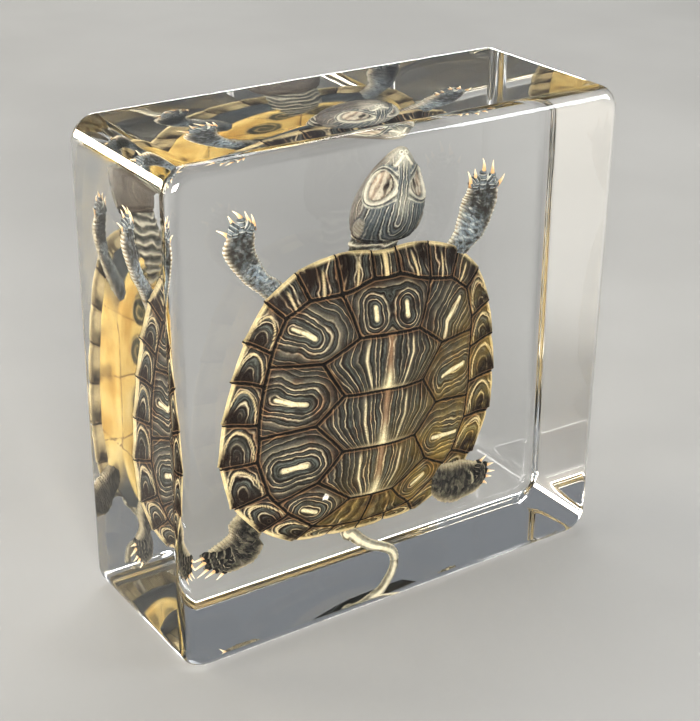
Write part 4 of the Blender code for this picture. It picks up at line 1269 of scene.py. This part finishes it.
def add_toes(skin, claws, limb, rear):
    """Ringed toes out of the foot, each with a claw that curves to one side or the other."""
    for i, (end, tip) in enumerate(limb["toes"]):
        end, tip = np.array([end[0], limb["toe_y"], end[1]]), np.array([tip[0], limb["claw_y"], tip[1]])
        root = toe_root(limb, end, rear)
        add_rod(
            skin, root, end + (tip - end) * 0.1, TOE_RADIUS * 1.1, TOE_RADIUS * 0.62, 36, 24,
            swell=lambda part, turn: 0.09 * np.abs(np.sin(part * 13.0)) - 0.3 * ease(0.86, 1.0, part),
            number=lambda part, turn: 0.3 + 0.3 * np.sin(part * 21.0 + turn),
            dark=0.6, pale=lambda part, turn: 0.75 * ease(0.35, 0.0, np.abs(np.sin(part * 13.0))),
        )
        curl = np.array([0.0, -0.22, 0.0]) + 0.12 * np.array([(-1) ** i, 0, 0.6])
        claw_root = end + (root - end) * (0.3 if rear else 0.15)
        add_rod(claws, claw_root, tip, CLAW_RADIUS, 0.05, 22, 14, curl, tip=lambda part, turn: part)


def limb_pieces(name, limb, material, horn):
    """One leg with its toes, and its claws."""
    rear = name.startswith("rear")
    skin, claws = Shape(*SKIN_MARKS), Shape("tip")
    add_leg(skin, limb, rear, len(name))
    add_toes(skin, claws, limb, rear)
    skin.piece(name + "_leg", material)
    claws.piece(name + "_claws", horn)


def tail(material):
    """A thin tail in ringed scales, with pale and slate bands along it."""
    rows, cols = 120, 48
    stations = smooth_rows([(*place, radius) for place, radius in TAIL], rows)
    centres, radius = stations[:, :3], stations[:, 3:]
    away = unit(np.gradient(centres, axis=0))
    side = unit(np.cross(away, (0.0, 1.0, 0.0)))
    points, outward, turn = tube(centres, radius * side, radius * np.cross(side, away), cols)
    along = path_lengths(centres)[:, None] + 0 * points[..., 0]
    rings = (along / RING_SPACING) % 1.0
    edge, number = cells(along / RING_SPACING, around(turn, rows, 8), 8, 21)
    points = points + outward * (0.1 * rings ** 2 - 0.05 * ease(0.16, 0.0, edge))[..., None]
    points[..., 2] = np.maximum(points[..., 2], TAIL_LOWEST)
    band = 0.5 + 0.5 * np.cos(turn * 4 + 0.6)
    shape = Shape(*SKIN_MARKS)
    shape.add(
        points, number=number * 0.6, pale=0.85 * ease(0.35, 0.75, band), warm=0.25,
        dark=0.45 * ease(0.25, 0.0, band) + 0.4 * ease(0.85, 1.0, rings),
    )
    return shape.piece("tail", material)


def stage():
    """A plain pale floor just under the block, and a plain pale world."""
    n = Nodes("pale_floor")
    n.finish(n.ramp(n.noise(90.0), FLOOR_TONES), 0.7, n.bump(n.noise(2.0), 0.05, 0.2))
    mesh = bpy.data.meshes.new("floor")
    sides = ((-1, -1), (1, -1), (1, 1), (-1, 1))
    mesh.from_pydata([(x * FLOOR_HALF, y * FLOOR_HALF, -FLOOR_DROP) for x, y in sides], [], [(0, 1, 2, 3)])
    mesh.materials.append(n.material)
    link("floor", mesh)
    world = bpy.data.worlds.new("soft_room")
    world.use_nodes = True
    world.node_tree.nodes["Background"].inputs["Color"].default_value = WORLD_COLOUR
    world.node_tree.nodes["Background"].inputs["Strength"].default_value = WORLD_STRENGTH
    bpy.context.scene.world = world


def lights():
    """Low soft lights before the block, so that the animal is lit more than the floor, and some behind."""
    for name, (place, size, power, colour) in LIGHTS.items():
        light = bpy.data.lights.new(name, "AREA")
        light.shape = "RECTANGLE"
        light.size, light.size_y = size
        light.energy = power
        light.color = colour
        made = link(name, light)
        made.location = place
        made.rotation_euler = (Vector(LIGHT_AIM) - Vector(place)).to_track_quat("-Z", "Y").to_euler()


def camera():
    """A camera placed and turned as the one that took the photograph."""
    data = bpy.data.cameras.new("camera")
    data.sensor_width = CAMERA_SENSOR
    data.lens = CAMERA_LENS
    data.sensor_fit = "AUTO"
    azimuth, elevation = math.radians(CAMERA_AZIMUTH), math.radians(CAMERA_ELEVATION)
    level = math.cos(elevation)
    back = Vector((math.sin(azimuth) * level, -math.cos(azimuth) * level, math.sin(elevation)))
    right = Vector((0, 0, 1)).cross(back).normalized()
    up = back.cross(right)
    roll = math.radians(CAMERA_ROLL)
    turned = math.cos(roll) * right + math.sin(roll) * up
    upright = math.cos(roll) * up - math.sin(roll) * right
    made = link("camera", data)
    axes = Matrix((turned, upright, back)).transposed().to_4x4()
    made.matrix_world = Matrix.Translation(CAMERA_PLACE) @ axes
    bpy.context.scene.camera = made


def light_paths():
    """Enough bounces for clear faces seen through clear faces, and strong contrast."""
    cycles = bpy.context.scene.cycles
    cycles.max_bounces = 24
    cycles.diffuse_bounces = 3
    cycles.glossy_bounces = 12
    cycles.transmission_bounces = 20
    cycles.sample_clamp_indirect = 6.0
    bpy.context.scene.view_settings.view_transform = "Standard"
    bpy.context.scene.view_settings.look = "High Contrast"


def main():
    """The block, every piece of the turtle, the stage, the lights and the camera."""
    block()
    carapace(shell_material())
    plastron(belly_material())
    head(skin_material("head_skin"))
    neck(skin_material("neck_skin"))
    front_skin, rear_skin = skin_material("front_leg_skin"), skin_material("rear_leg_skin")
    horn = claw_material()
    for name, limb in LIMBS.items():
        limb_pieces(name, limb, rear_skin if name.startswith("rear") else front_skin, horn)
    tail(skin_material("tail_skin"))
    stage()
    lights()
    camera()
    light_paths()


main()
